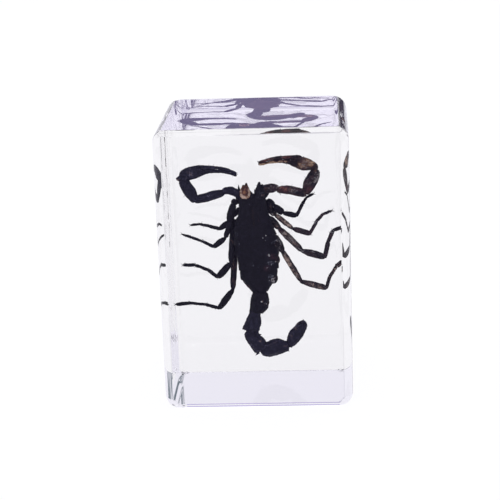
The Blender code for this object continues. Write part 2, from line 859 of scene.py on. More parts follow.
@dataclass(frozen=True)
class AirFinish:
    """A film of air between resin and cuticle. Its mirroring of the light is a painted reflection: a pale
    colour in bright and dim patches.

    Attributes:
        name: the material's name.
        slot: the record's material slot. It is not used.
        colour: its brightest colour, where the painted reflection is strongest.
        patch: size of the bright and dim patches of its painted reflection, in metres.
        sheen: lowest and highest roughness.
    """

    name: str = "trapped_air"
    slot: str = "pale_membrane"
    colour: Colour = (0.85, 0.85, 0.9)
    patch: float = 0.3 * MM
    sheen: tuple[float, float] = (0.15, 0.4)

    def material(self) -> bpy.types.Material:
        """Makes the material."""
        made = bpy.data.materials.new(self.name)
        wiring = Wiring(made)
        # Painted reflection: bright and dim patches of pale colour stand in for the light that the air
        # mirrors.
        bright = wiring.noise(self.patch)
        dim = tuple(0.5 * part for part in self.colour)
        wiring.give("Base Color", wiring.steps(bright, (0.35, dim), (0.6, self.colour)))
        wiring.give("Roughness", wiring.spread(bright, 0.3, 0.7, *self.sheen))
        return made


BLACK_CUTICLE = CuticleFinish(
    name="black_chitin",
    slot="black_cuticle",
    dark=(0.0075, 0.0068, 0.0125),
    middle=(0.013, 0.012, 0.021),
    warm=(0.085, 0.05, 0.043),
    pale=(0.36, 0.26, 0.2),
)
# Black cuticle made lighter and bluer for the left arm and the tail: a painted sheen, with more painted
# highlights.
PAINTED_SHEEN_CUTICLE = CuticleFinish(
    name="blue_black_chitin",
    slot="black_cuticle",
    dark=(0.0155, 0.0148, 0.029),
    middle=(0.025, 0.024, 0.046),
    warm=(0.09, 0.065, 0.07),
    pale=(0.36, 0.28, 0.25),
    glint=(0.2, 0.19, 0.27),
    glint_from=1.03,
)
BROWN_CUTICLE = CuticleFinish(
    name="brown_chitin",
    slot="brown_cuticle",
    dark=(0.015, 0.012, 0.02),
    middle=(0.045, 0.028, 0.03),
    warm=(0.15, 0.078, 0.055),
    pale=(0.48, 0.32, 0.21),
    glint=(0.27, 0.25, 0.26),
    glint_from=0.99,
    rust_share=0.5,
    mottle=0.7,
)
DUSKY_CUTICLE = CuticleFinish(
    name="dusky_chitin",
    slot="brown_cuticle",
    dark=(0.017, 0.0145, 0.023),
    middle=(0.042, 0.034, 0.04),
    warm=(0.12, 0.085, 0.078),
    pale=(0.4, 0.3, 0.26),
    glint=(0.26, 0.26, 0.28),
    glint_from=0.99,
    rust_share=0.35,
    mottle=0.7,
)
JAW_CUTICLE = CuticleFinish(
    name="jaw_chitin",
    slot="brown_cuticle",
    dark=(0.02, 0.013, 0.013),
    middle=(0.075, 0.033, 0.022),
    warm=(0.24, 0.11, 0.06),
    pale=(0.62, 0.46, 0.38),
    glint=(0.6, 0.5, 0.42),
    glint_from=1.04,
    ember=(0.26, 0.12, 0.065),
    mottle=0.45,
    patch=0.6 * MM,
)
MEMBRANE = CuticleFinish(
    name="dry_membrane",
    slot="pale_membrane",
    dark=(0.012, 0.010, 0.014),
    middle=(0.03, 0.024, 0.024),
    warm=(0.16, 0.085, 0.055),
    pale=(0.6, 0.46, 0.34),
    glint=(0.42, 0.4, 0.42),
    glint_from=1.02,
    rust_share=0.5,
    mottle=0.5,
    patch=0.6 * MM,
    sheen=(0.6, 0.9),
)

Finish = ResinFinish | CuticleFinish | AirFinish


@cache
def material_of(finish: Finish) -> bpy.types.Material:
    """The finish's material, which is made once and shared."""
    return finish.material()


def dress(piece: Part, finish: Finish) -> None:
    """Dresses a finished piece and makes it ride with the block.

    Args:
        piece: the piece, at its real size and place.
        finish: what it is made of.
    """
    piece.data.materials.clear()
    piece.data.materials.append(material_of(finish))
    take(piece)
    bpy.ops.object.shade_smooth()
    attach(piece, ROOT_BODY)
    triangles = sum(len(face.vertices) - 2 for face in piece.data.polygons)
    LOG.info("%s: %d triangles of %s", piece.name, triangles, finish.name)


def bring_in(piece: Part, finish: Finish) -> None:
    """Brings a piece of the specimen from the bench to its real size, and dresses it.

    Args:
        piece: the piece, in millimetres.
        finish: what it is made of.
    """
    with editing(piece):
        bpy.ops.transform.resize(value=(MM, MM, MM), center_override=ORIGIN)
    dress(piece, finish)


# The casting.


@dataclass
class ResinBlock:
    """The block: cast with rounded edges, then ground flat in front and on top, which leaves crisp lines.

    Attributes:
        name: the piece's name.
        node: the solid that it stands for.
        top_radius: what the mould leaves on the top's sides and back.
        lip_radius: what it leaves on the top's front edge.
        upright_radius: what it leaves on the upright edges.
        base_radius: what it leaves round the base.
        heel_radius: what it leaves on the base's back edge.
        ground_off: how much resin is ground off the front and the top.
        lip_drop: how far below the top the flat starts that is ground along its front edge.
        lip_tilt: how far that flat leans back from the viewing face, in degrees.
        lip_hollow: how deep the wheel hollowed that flat.
        lip_lines: how many strips the hollow is made of.
        crease: from which angle on, in degrees, an edge is seen as a line.
        worn_crease: from which angle on a crease is worn.
        worn: how wide the worn strip along such a crease is.
        worn_low: how worn the creases below the top are, as a share of how worn those at the top are.
        segments: how finely the rounding is made.
        weld: how close points lie that are made one.
        cut_snap: how close to a cut a point lies that is moved onto it.
        finish: what it is made of.
    """

    name: str = "resin_casting"
    node: str = "resin_block"
    top_radius: float = 3.2 * MM
    lip_radius: float = 0.5 * MM
    upright_radius: float = 3.1 * MM
    base_radius: float = 2.6 * MM
    heel_radius: float = 0.05 * MM
    ground_off: float = 0.28 * MM
    lip_drop: float = 1.06 * MM
    lip_tilt: float = 40.9
    lip_hollow: float = 0.013 * MM
    lip_lines: int = 9
    crease: float = 8.0
    worn_crease: float = 18.0
    worn: float = 0.2 * MM
    worn_low: float = 0.35
    segments: int = 24
    weld: float = 0.0002 * MM
    cut_snap: float = 0.001 * MM
    finish: ResinFinish = field(default_factory=ResinFinish)

    def build(self) -> None:
        """Models the block in the space of its solid, and dresses it."""
        low, high = (Vector(corner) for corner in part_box(self.node))
        cast_low = low - Vector((0.0, self.ground_off, 0.0))
        cast_high = high + Vector((0.0, 0.0, self.ground_off))
        middle = (cast_low + cast_high) / 2.0
        clear_selection()
        bpy.ops.mesh.primitive_cube_add(size=1.0, location=middle)
        block = bpy.context.active_object
        block.name = block.data.name = self.name
        bpy.ops.transform.resize(value=cast_high - cast_low, center_override=middle)
        bpy.ops.object.transform_apply(location=True, rotation=True, scale=True)
        self.weigh_edges(block, middle)
        rounding = add_modifier(block, "BEVEL")
        rounding.limit_method = "WEIGHT"
        rounding.width = self.top_radius
        rounding.segments = self.segments
        rounding.use_clamp_overlap = False
        apply_modifiers(block)
        self.grind(block, low, Vector(TOWARDS_VIEWER))
        self.grind(block, high, Vector((0.0, 0.0, 1.0)))
        tilt = math.radians(self.lip_tilt)
        foot = Vector((0.0, low.y, high.z - self.lip_drop))
        outwards = Vector((0.0, -math.cos(tilt), math.sin(tilt)))
        self.grind(block, foot, outwards)
        self.wear_creases(block, high.z - 2.0 * self.lip_drop)
        self.press_flush(block, low, high)
        self.hollow_lip(block, foot, outwards)
        dress(block, self.finish)
        bpy.ops.object.shade_smooth_by_angle(angle=math.radians(self.crease), keep_sharp_edges=False)
        even = add_modifier(block, "WEIGHTED_NORMAL")
        even.keep_sharp = True
        apply_modifiers(block)
        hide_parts(self.node)

    def press_flush(self, block: Part, low: Vector, high: Vector) -> None:
        """Presses flat what the wear leaves proud of the back and the base, at the heel's two corners.

        Args:
            block: the block.
            low: the low corner of its box.
            high: the high corner of its box.
        """
        with editing(block, lambda at: at.y > high.y):
            bpy.ops.transform.resize(value=(1.0, 0.0, 1.0), center_override=high)
        with editing(block, lambda at: at.z < low.z):
            bpy.ops.transform.resize(value=(1.0, 1.0, 0.0), center_override=low)
        with editing(block):
            bpy.ops.mesh.remove_doubles(threshold=self.weld)

    def hollow_lip(self, block: Part, foot: Vector, outwards: Vector) -> None:
        """Hollows the flat along the top's front edge, as a polishing wheel does.

        Args:
            block: the block.
            foot: a point on the flat's lower edge.
            outwards: the direction that the flat faces.
        """
        up = Vector((1.0, 0.0, 0.0)).cross(outwards)
        width = self.lip_drop / up.z
        near = 0.1 * self.lip_hollow
        for line in range(1, self.lip_lines):
            cut = foot + up * width * line / self.lip_lines
            with editing(block, lambda at: abs((at - foot).dot(outwards)) < near):
                bpy.ops.mesh.bisect(plane_co=cut, plane_no=up, threshold=0.1 * self.cut_snap)
        # A share times the rest of it is a quarter at the middle, where the hollow is deepest.
        inwards = outwards * -4.0 * self.lip_hollow
        for line in range(1, self.lip_lines):
            share = line / self.lip_lines
            spot = foot + up * width * share
            with editing(block, lambda at: max(abs((at - spot).dot(way)) for way in (up, outwards)) < near):
                bpy.ops.transform.translate(value=inwards * share * (1.0 - share))

    def wear_creases(self, block: Part, top: float) -> None:
        """Takes the sharpness off every crease, and notes in the attribute "worn" how dull each face is.

        Args:
            block: the block.
            top: above which height the creases are most handled.
        """
        blunting = add_modifier(block, "BEVEL")
        blunting.limit_method = "ANGLE"
        blunting.angle_limit = math.radians(self.worn_crease)
        blunting.offset_type = "WIDTH"
        blunting.width = self.worn
        blunting.use_clamp_overlap = False
        blunting.segments = 1
        blunting.material = 1
        for _ in ("polished", "worn"):
            block.data.materials.append(None)
        apply_modifiers(block)
        wear = {True: 1.0, False: self.worn_low}
        marks = [wear[face.center.z > top] * face.material_index for face in block.data.polygons]
        LOG.info("%s: %d faces, %d of them worn", block.name, len(marks), sum(mark > 0.0 for mark in marks))
        layer = block.data.attributes.new("worn", "FLOAT", "FACE")
        layer.data.foreach_set("value", marks)

    def grind(self, block: Part, place: Vector, outwards: Vector) -> None:
        """Grinds the block flat along a plane.

        Args:
            block: the block.
            place: a point on the plane.
            outwards: the direction in which the resin is taken off.
        """
        with editing(block):
            bpy.ops.mesh.bisect(
                plane_co=place, plane_no=outwards, use_fill=True, clear_outer=True, threshold=self.cut_snap
            )

    def radius_at(self, spot: Vector) -> float:
        """The radius that the mould leaves on an edge of the sharp box.

        Args:
            spot: the edge's middle, measured from the middle of the box.

        Returns:
            The radius.
        """
        if abs(spot.z) < MM:
            return self.upright_radius
        if spot.z > 0.0:
            return self.lip_radius if spot.y < -MM else self.top_radius
        return self.heel_radius if spot.y > MM else self.base_radius

    def weigh_edges(self, block: Part, middle: Vector) -> None:
        """Gives each edge of the sharp box the share of the rounding that its radius needs.

        Args:
            block: the sharp box.
            middle: its middle.
        """
        radii = (self.top_radius, self.lip_radius, self.upright_radius, self.base_radius, self.heel_radius)
        for radius in radii:
            with editing(block):
                bpy.ops.mesh.select_mode(type="EDGE")
                bpy.ops.mesh.select_all(action="DESELECT")
                bpy.ops.object.mode_set(mode="OBJECT")
                for edge in block.data.edges:
                    first, last = (block.data.vertices[index].co for index in edge.vertices)
                    edge.select = self.radius_at((first + last) / 2.0 - middle) == radius
                bpy.ops.object.mode_set(mode="EDIT")
                bpy.ops.transform.edge_bevelweight(value=radius / self.top_radius)


# The specimen.


@dataclass(frozen=True)
class Stretch:
    """One segment of a limb: where it lies and its sections, in millimetres.

    Attributes:
        start: where it starts.
        end: where it is aimed at.
        rows: along, half width and, where it leaves its axis, aside.
        depth: its depth over its width.
        back: which way its back is turned.
    """

    start: Place
    end: Place
    rows: tuple[tuple[float, ...], ...]
    depth: float = 0.85
    back: Place = TOWARDS_VIEWER

    def model(self, name: str, sides: int = 16, keels: Keels = NO_KEELS, levels: int = 2) -> Part:
        """Draws the segment out, rounds it and lays it in its place.

        Args:
            name: its name.
            sides: corners of its sections.
            keels: its long ridges.
            levels: how finely it is subdivided.

        Returns:
            The segment.
        """
        rings = [Ring(row[0], row[1], row[1] * self.depth, *row[2:]) for row in self.rows]
        limb = draw_out(name, rings, sides, keels)
        subdivide(limb, levels)
        return settle(limb, lie(self.start, self.end, self.back))

    def edge(self, share: float, side: float, raised: float = 0.0) -> Place:
        """A point on the segment's edge.

        Args:
            share: how far along its rows it lies, from 0 to 1.
            side: -1 or 1 for its two edges, or a share of its half width.
            raised: how far towards its back, as a share of its half width.

        Returns:
            The point.
        """
        along = self.rows[0][0] + share * (self.rows[-1][0] - self.rows[0][0])
        slack = 1e-6
        before, after = next(pair for pair in pairwise(self.rows) if pair[1][0] >= along - slack)
        part = (along - before[0]) / (after[0] - before[0])
        half = before[1] + part * (after[1] - before[1])
        asides = [row[2] if len(row) > 2 else 0.0 for row in (before, after)]
        aside = asides[0] + part * (asides[1] - asides[0])
        spot = Vector((aside + side * half, raised * half * self.depth, along))
        return lie(self.start, self.end, self.back) @ spot


@dataclass(frozen=True)
class BodyLine:
    """The line of the trunk, from the front of the carapace to the root of the tail, in millimetres.

    Attributes:
        front: where the line starts.
        rear: where it ends.
        girth: sections of the trunk along it.
    """

    front: Place = (-0.45, 1.0, 43.45)
    rear: Place = (0.45, 0.6, 22.2)
    girth: tuple[Ring, ...] = (
        Ring(0.0, 2.55, 0.8),
        Ring(0.4, 2.74, 1.08, -0.05),
        Ring(1.9, 2.92, 1.4, -0.15),
        Ring(3.6, 2.95, 1.6, -0.1),
        Ring(5.5, 3.75, 1.75, -0.15),
        Ring(7.3, 4.3, 1.9, -0.2),
        Ring(9.1, 4.62, 1.95, -0.1),
        Ring(10.8, 4.7, 2.0),
        Ring(12.6, 4.6, 2.0, 0.07),
        Ring(14.4, 4.42, 1.9, 0.16),
        Ring(15.7, 4.22, 1.8, 0.18),
        Ring(17.3, 4.1, 1.7, 0.05),
        Ring(18.4, 3.75, 1.6),
        Ring(19.3, 3.15, 1.45),
        Ring(20.2, 2.3, 1.25),
        Ring(21.3, 1.6, 1.1, 0.05),
    )

    def at(self, along: float, scale: float = 1.0, belly: bool = False) -> Ring:
        """The trunk's section at a distance along the line.

        Args:
            along: the distance from the front.
            scale: what the section is enlarged by.
            belly: whether the section is turned over, to start from the belly.

        Returns:
            The section.
        """
        along = min(max(along, self.girth[0].along), self.girth[-1].along)
        before, after = next(pair for pair in pairwise(self.girth) if pair[1].along >= along)
        share = (along - before.along) / (after.along - before.along)
        wide, deep, aside = (
            getattr(before, name) * (1.0 - share) + getattr(after, name) * share
            for name in ("wide", "deep", "aside")
        )
        return Ring(along, wide * scale, deep * (-scale if belly else scale), aside)

    def lay(self, piece: Part) -> Part:
        """Lays a piece of the trunk along the line."""
        return settle(piece, lie(self.front, self.rear))


@dataclass
class Trunk:
    """Carapace, back plates, belly plates and the soft skin between them, in millimetres on the bench.

    Attributes:
        line: the line that they lie along.
        carapace_length: how long the shield over the head and legs is.
        carapace_middle: where its middle line lies across.
        presses: the shield's furrow, its eye hump and the grooves beside the furrow. Each reaches on both
            sides from one distance to another off the middle line, lies above a height and between two
            places along the shield, and is raised by the last number.
        back_plate_ends: where each plate of the back ends along the line.
        belly_start: where the first plate of the belly starts.
        belly_plate_ends: where each plate of the belly ends.
        overlap: how far each plate reaches under the one before it.
        flare: sizes of a plate's sections over the trunk's, from its hidden front to its rear edge.
        skin_size: size of the skin over the trunk's.
        bulge_depth: how far towards the back the middles of the skin's bulges lie.
        bulge_radius: how large they are.
        flank_bulges: where they lie, across and along.
        flank_stains_and_glints: the stains of the back and its sides, and the places where more highlights
            are painted on them.
    """

    line: BodyLine = field(default_factory=BodyLine)
    carapace_length: float = 6.5
    carapace_middle: float = -0.1
    presses: tuple[tuple[float, ...], ...] = (
        (0.0, 0.22, 0.8, 3.0, 7.0, -0.25),
        (0.0, 0.3, 0.8, 1.7, 2.7, 0.22),
        (0.9, 1.3, 0.5, 3.4, 6.2, -0.125),
    )
    back_plate_ends: tuple[float, ...] = (7.4, 8.8, 10.7, 13.1, 16.3, 18.4, 21.2)
    belly_start: float = 8.6
    belly_plate_ends: tuple[float, ...] = (11.2, 13.6, 16.0, 18.3, 21.2)
    overlap: float = 0.4
    flare: tuple[float, ...] = (0.93, 0.955, 0.985, 1.0, 1.03, 0.995)
    skin_size: float = 0.93
    bulge_depth: float = 0.2
    bulge_radius: float = 1.07
    flank_bulges: tuple[tuple[float, float], ...] = (
        (3.9, 10.9), (3.72, 14.3), (3.0, 18.4), (-2.65, 16.7), (-2.3, 18.1), (-1.75, 19.2)
    )
    flank_stains_and_glints: tuple[StainOrGlint, ...] = (
        StainOrGlint(2.7, 30.6, 0.45, 0.6),
        StainOrGlint(2.6, 27.9, 0.5, 0.3),
        StainOrGlint(2.9, 24.9, 0.6, 0.3),
        StainOrGlint(2.0, 34.3, 0.5, 0.2),
        StainOrGlint(2.2, 27.7, 0.7, 0.3, RUST),
        StainOrGlint(3.4, 30.2, 0.7, 0.3, RUST),
        *streak((2.2, 28.7), (3.9, 28.9), 0.5, 1.3, GRIT),
        *streak((2.3, 27.7), (3.5, 27.5), 0.4, 1.0, GRIT),
        *streak((2.4, 26.2), (3.4, 24.0), 0.8, 1.4, GRIT),
        *streak((3.9, 36.4), (4.4, 33.4), 0.5, 0.8, GRIT),
        *streak((-4.2, 35.9), (-3.6, 24.5), 0.8, 0.7, GRIT),
        StainOrGlint(1.8, 34.3, 0.6, 0.8, GRIT),
    )

    def build(self) -> None:
        """Models and dresses every piece of the trunk."""
        self.build_skin()
        self.build_carapace()
        self.build_back()
        self.build_belly()

    def build_skin(self) -> None:
        """The soft skin that fills the sides between back and belly plates."""
        rings = [self.line.at(ring.along, self.skin_size) for ring in self.line.girth[1:]]
        skin = draw_out("flank_skin", rings, sides=24)
        subdivide(skin, 2)
        middles = [(across, self.bulge_depth, along) for across, along in self.flank_bulges]
        skin = joined("flank_skin", [skin, *(dome(middle, self.bulge_radius) for middle in middles)])
        roughen(skin, Grain.WRINKLES, 0.5, 0.12)
        self.line.lay(skin)
        write_stains_and_glints(skin, self.flank_stains_and_glints)
        bring_in(skin, MEMBRANE)

    def build_carapace(self) -> None:
        """The shield over the head and legs, with its eyes, its furrow and its granules."""
        stations = [
            Ring(-0.3, 2.1, 0.6),
            *self.line.girth[1:5],
            self.line.at(self.carapace_length - 0.2),
            self.line.at(self.carapace_length, 0.97),
        ]
        shield = draw_out("carapace", stations, sides=32)
        subdivide(shield, 2)
        for inner, outer, above, start, end, raised in self.presses:

            def pressed(at: Vector) -> bool:
                """Whether a vertex lies in the place that is pressed."""
                aside = abs(at.x - self.carapace_middle)
                return inner <= aside < outer and at.y > above and start < at.z < end

            with editing(shield, pressed):
                bpy.ops.transform.translate(value=(0.0, raised, 0.0))
        subdivide(shield, 1)
        roughen(shield, Grain.GRANULES, 0.26, 0.16)
        eyes = [dome((self.carapace_middle + side * 0.27, 1.62, 2.2), 0.2) for side in (LEFT, RIGHT)]
        for step in range(3):
            aside, height, along = 2.4 + 0.1 * step, 0.62 - 0.08 * step, 0.5 + 0.26 * step
            eyes.extend(dome((side * aside, height, along), 0.11) for side in (LEFT, RIGHT))
        piece = joined("carapace", [shield, *eyes])
        self.line.lay(piece)
        write_stains_and_glints(piece, ())
        bring_in(piece, BLACK_CUTICLE)

    def plates(self, ends: Sequence[float], start: float, half_angle: float, belly: bool) -> list[Part]:
        """Overlapping arched plates along the trunk.

        Args:
            ends: where each plate ends.
            start: where the first one starts.
            half_angle: how far round each reaches.
            belly: whether they lie on the belly.

        Returns:
            The plates.
        """
        made = []
        thickness = 0.14
        for first, last in pairwise([start, *ends]):
            front, rear = first + 0.3 * (last - first), first + 0.75 * (last - first)
            places = (first - self.overlap, first, front, rear, last - 0.1, last)
            stations = [self.line.at(along, size, belly) for along, size in zip(places, self.flare)]
            made.append(arch("plate", stations, half_angle, thickness))
        return made

    def build_back(self) -> None:
        """The seven plates of the back, granular and slightly flared at their rear edges."""
        plates = self.plates(self.back_plate_ends, self.carapace_length, 97.0, belly=False)
        piece = joined("back_plates", plates)
        subdivide(piece, 2)
        roughen(piece, Grain.GRANULES, 0.28, 0.12)
        self.line.lay(piece)
        write_stains_and_glints(piece, self.flank_stains_and_glints)
        bring_in(piece, BLACK_CUTICLE)

    def build_belly(self) -> None:
        """The five smooth plates of the belly, with the slits of the book lungs in the first four."""
        plates = self.plates(self.belly_plate_ends, self.belly_start, 80.0, belly=True)
        slits = []
        for first, last in pairwise([self.belly_start, *self.belly_plate_ends[:-1]]):
            along = 0.45 * first + 0.55 * last
            for side in (LEFT, RIGHT):
                ring = self.line.at(along)
                at = (side * 0.62 * ring.wide, -0.77 * ring.deep, along)
                slits.append(dome(at, 0.3, flatness=0.25))
        piece = joined("belly_plates", plates)
        subdivide(piece, 2)
        piece = joined("belly_plates", [piece, *slits])
        roughen(piece, Grain.SWELLS, 1.2, 0.06)
        self.line.lay(piece)
        write_stains_and_glints(piece, (), overall=0.1)
        bring_in(piece, BROWN_CUTICLE)


@dataclass
class Underside:
    """What lies between the legs on the belly side: hip segments, breastbone, lid and combs.

    Attributes:
        middle: where the middle line lies across, in millimetres.
        roots: where the legs' hip segments start, measured from that line to either side.
        arm_root: where those of the arms start, likewise.
        arm_hips: side of each arm, and where its hip segment is aimed at.
        spurs: root, tip and radius of the points that show in front of the carapace.
        hip_glints: places where more highlights are painted on the hip segments.
        comb_teeth: how many teeth each comb has.
    """

    middle: float = -0.1
    roots: tuple[Place, ...] = ((0.7, 2.4, 41.3), (0.8, 2.6, 39.6), (0.9, 2.75, 38.2), (0.9, 2.8, 37.2))
    arm_root: Place = (0.7, 2.0, 42.2)
    arm_hips: tuple[tuple[float, Place], ...] = ((LEFT, (-4.0, 1.7, 43.5)), (RIGHT, (2.45, 1.7, 44.5)))
    spurs: tuple[tuple[Place, Place, float], ...] = (
        ((-3.2, 1.2, 44.2), (-3.28, 1.0, 45.7), 0.34),
        ((2.5, 1.2, 44.0), (2.3, 1.0, 45.0), 0.24),
        ((-0.25, 0.2, 43.2), (-0.95, 0.1, 44.6), 0.36),
        ((0.45, 0.3, 43.4), (0.0, 0.2, 44.75), 0.36),
    )
    hip_glints: tuple[StainOrGlint, ...] = (
        StainOrGlint(3.3, 40.5, 0.5, 0.5, GRIT),
        StainOrGlint(-4.6, 40.2, 0.5, 0.6, GRIT),
        StainOrGlint(2.4, 43.9, 0.5, 0.6, GRIT),
    )
    comb_teeth: int = 20

    def build(self) -> None:
        """Models and dresses the underside's pieces."""
        self.build_hips()
        self.build_breastbone()
        for side in (LEFT, RIGHT):
            self.build_comb(side)

    def build_hips(self) -> None:
        """The first segments of the eight legs and the two arms, fixed to the trunk."""
        parts = []
        depth = 0.75
        for leg, root in zip(LEGS, self.roots * 2):
            tip = leg.joints[0]
            start = self.beside(math.copysign(1.0, tip[0]), root)
            length = (Vector(tip) - Vector(start)).length
            middle = ((0.5 * length, 0.8), (0.85 * length, 0.78))
            rows = ((-0.3, 0.45), (0.3, 0.72), *middle, (length + 0.15, 0.5))
            parts.append(Stretch(start, tip, rows, depth).model("hip"))
        for side, tip in self.arm_hips:
            rows = ((-0.3, 0.5), (0.4, 0.95), (1.6, 1.2), (2.6, 1.1), (3.4, 0.7))
            parts.append(Stretch(self.beside(side, self.arm_root), tip, rows, depth).model("arm_hip"))
        parts.extend(spike(root, tip, radius) for root, tip, radius in self.spurs)
        hips = joined("hip_segments", parts)
        roughen(hips, Grain.SWELLS, 0.9, 0.1)
        roughen(hips, Grain.GRANULES, 0.2, 0.05)
        write_stains_and_glints(hips, self.hip_glints)
        bring_in(hips, BLACK_CUTICLE)

    def beside(self, side: float, place: Place) -> Place:
        """A place on one side of the middle line, given as measured from that line."""
        aside, deep, up = place
        return (self.middle + side * aside, deep, up)

    def build_breastbone(self) -> None:
        """The small breastbone and the two halves of the lid behind it."""
        depth = 0.5
        rows = ((0.0, 0.22), (0.3, 0.42), (1.0, 0.55), (1.6, 0.5), (1.8, 0.3))
        ends = ((self.middle, 2.75, 38.9), (self.middle, 3.0, 37.2))
        parts = [Stretch(*ends, rows, depth).model("bone")]
        rows = ((0.0, 0.3), (0.3, 0.5), (0.8, 0.5), (1.2, 0.3))
        for side in (LEFT, RIGHT):
            ends = (self.beside(side, place) for place in ((0.5, 2.8, 37.1), (0.5, 2.9, 35.7)))
            parts.append(Stretch(*ends, rows, depth).model("lid"))
        bone = joined("breastbone", parts)
        roughen(bone, Grain.SWELLS, 0.6, 0.05)
        write_stains_and_glints(bone, (), overall=0.3)
        bring_in(bone, BROWN_CUTICLE)

    def build_comb(self, side: float) -> None:
        """One of the two combs: a jointed shaft that sweeps back, with a row of soft teeth.

        Args:
            side: -1 for the left one or 1 for the right one.
        """
        rows = ((0.0, 0.3), (0.4, 0.42), (2.0, 0.38), (3.8, 0.3), (4.6, 0.12))
        root, tip = self.beside(side, (0.5, 2.9, 36.3)), self.beside(side, (4.2, 3.0, 33.6))
        shaft = Stretch(root, tip, rows, 0.5)
        parts = [shaft.model("shaft")]
        first, spread, longest, shortening = 0.1, 0.88, 1.1, 0.45
        for step in range(self.comb_teeth):
            share = first + spread * step / (self.comb_teeth - 1)
            start = shaft.edge(share, -side * 0.6)
            length = longest * (1.0 - shortening * share)
            end = start + Vector((side * 0.1, 0.1, -1.0)) * length
            tooth = Stretch(start, end, ((0.0, 0.07), (0.5 * length, 0.085), (length, 0.05)), 0.7)
            parts.append(tooth.model("tooth", sides=8, levels=1))
        comb = joined("comb_left" if side == LEFT else "comb_right", parts)
        write_stains_and_glints(comb, (), overall=0.45)
        bring_in(comb, BROWN_CUTICLE)


@dataclass(frozen=True)
class Chelicera:
    """One of the two short jaws in front of the carapace.

    Attributes:
        name: what it is called.
        root: the middle of its root.
        tip: the tip of its fixed finger.
        outer: -1 or 1, the side of its moving finger.
        shown: how much its inside shows through.
        stains_and_glints: its stains, and the places where more highlights are painted on it.
        finish: what it is made of.
    """

    name: str
    root: Place
    tip: Place
    outer: float
    shown: float
    stains_and_glints: tuple[StainOrGlint, ...]
    finish: CuticleFinish

    def build(self) -> None:
        """Models and dresses the jaw."""
        root, tip = Vector(self.root), Vector(self.tip)
        wrist = root + Vector((0.0, 0.0, 1.9))
        rows = ((-0.4, 0.8), (0.1, 1.02), (0.8, 1.16), (1.5, 1.08), (2.1, 0.8), (2.6, 0.3))
        parts = [Stretch(root, wrist, rows).model("hand")]
        fixed_root = wrist + Vector((-self.outer * 0.25, 0.1, -0.5))
        parts.append(self.finger(fixed_root, tip, (0.5, 0.36, 0.16)))
        moving_root = wrist + Vector((self.outer * 0.45, 0.1, -0.6))
        moving_tip = tip + Vector((self.outer * 0.55, 0.1, -0.45))
        parts.append(self.finger(moving_root, moving_tip, (0.42, 0.3, 0.12), bow=-0.08 * self.outer))
        for share in (0.45, 0.65, 0.82):
            base = moving_root.lerp(moving_tip, share) + Vector((-self.outer * 0.12, 0.0, 0.0))
            parts.append(spike(base, base + Vector((-self.outer * 0.26, -0.05, 0.12)), 0.09))
        jaw = joined(self.name, parts)
        roughen(jaw, Grain.SWELLS, 0.5, 0.3)
        write_stains_and_glints(jaw, self.stains_and_glints, overall=self.shown)
        jaw = grow_bristles(jaw, 6, 0.3, seed=31)
        bring_in(jaw, self.finish)

    def finger(self, root: Vector, tip: Vector, girth: tuple[float, float, float], bow: float = 0.0) -> Part:
        """One of the jaw's two fingers.

        Args:
            root: the middle of its root.
            tip: its tip.
            girth: its half width at the root, farther out and at the tip.
            bow: how far it bows to one side.

        Returns:
            The finger.
        """
        reach = (tip - root).length
        thick, thin, end = girth
        rows = ((-0.2, thick), (0.3 * reach, thick, bow), (0.7 * reach, thin, bow), (reach, end))
        return Stretch(root, tip, rows, 0.9).model("finger")


CHELICERAE = (
    Chelicera("jaw_left", (-1.95, 0.35, 43.1), (-1.6, 0.0, 46.25), LEFT, 0.2, (
        *streak((-2.95, 44.7), (-2.6, 43.5), 0.4, 0.8),
        *streak((-2.5, 43.1), (-1.3, 43.1), 0.45, 1.0),
        *streak((-0.95, 43.5), (-1.2, 44.8), 0.35, 0.9),
        StainOrGlint(-2.0, 44.3, 0.6, 0.95, RUST),
        StainOrGlint(-2.1, 44.9, 0.6, 0.3),
        StainOrGlint(-1.8, 45.0, 0.5, 0.4, RUST),
    ), JAW_CUTICLE),
    Chelicera("jaw_right", (1.08, 0.35, 43.0), (1.15, 0.0, 46.35), RIGHT, 0.05, (
        StainOrGlint(1.6, 43.5, 0.5, 0.4),
        StainOrGlint(1.4, 44.0, 0.8, 0.7, GRIT),
    ), BLACK_CUTICLE),
)


@dataclass(frozen=True)
class Podomere:
    """The shape of one leg segment, as shares of its length and half width.

    Attributes:
        profile: along and width at each of its sections.
        depth: its depth over its width.
    """

    profile: tuple[tuple[float, float], ...]
    depth: float


class LegPart(Enum):
    """The segments of a walking leg, from the hip outwards."""

    TROCHANTER = Podomere(((-0.1, 0.5), (0.1, 0.9), (0.5, 1.0), (0.9, 0.85), (1.1, 0.5)), 0.85)
    FEMUR = Podomere(
        ((-0.03, 0.4), (0.03, 0.72), (0.16, 0.95), (0.45, 1.0), (0.78, 0.97), (0.93, 0.8), (1.0, 0.45)), 0.7
    )
    PATELLA = Podomere(
        ((-0.06, 0.4), (0.04, 0.62), (0.28, 0.94), (0.55, 1.0), (0.82, 0.93), (0.97, 0.75), (1.03, 0.4)), 0.7
    )
    TIBIA = Podomere(((-0.08, 0.6), (0.04, 1.12), (0.4, 1.16), (0.85, 1.08), (0.98, 1.15), (1.03, 0.6)), 0.8)
    BASITARSUS = Podomere(((-0.04, 0.6), (0.06, 1.1), (0.5, 1.05), (0.94, 1.18), (1.02, 0.6)), 0.8)
    TARSUS = Podomere(((-0.02, 0.6), (0.08, 1.1), (0.5, 1.2), (0.85, 1.12), (0.97, 0.85), (1.0, 0.5)), 0.8)


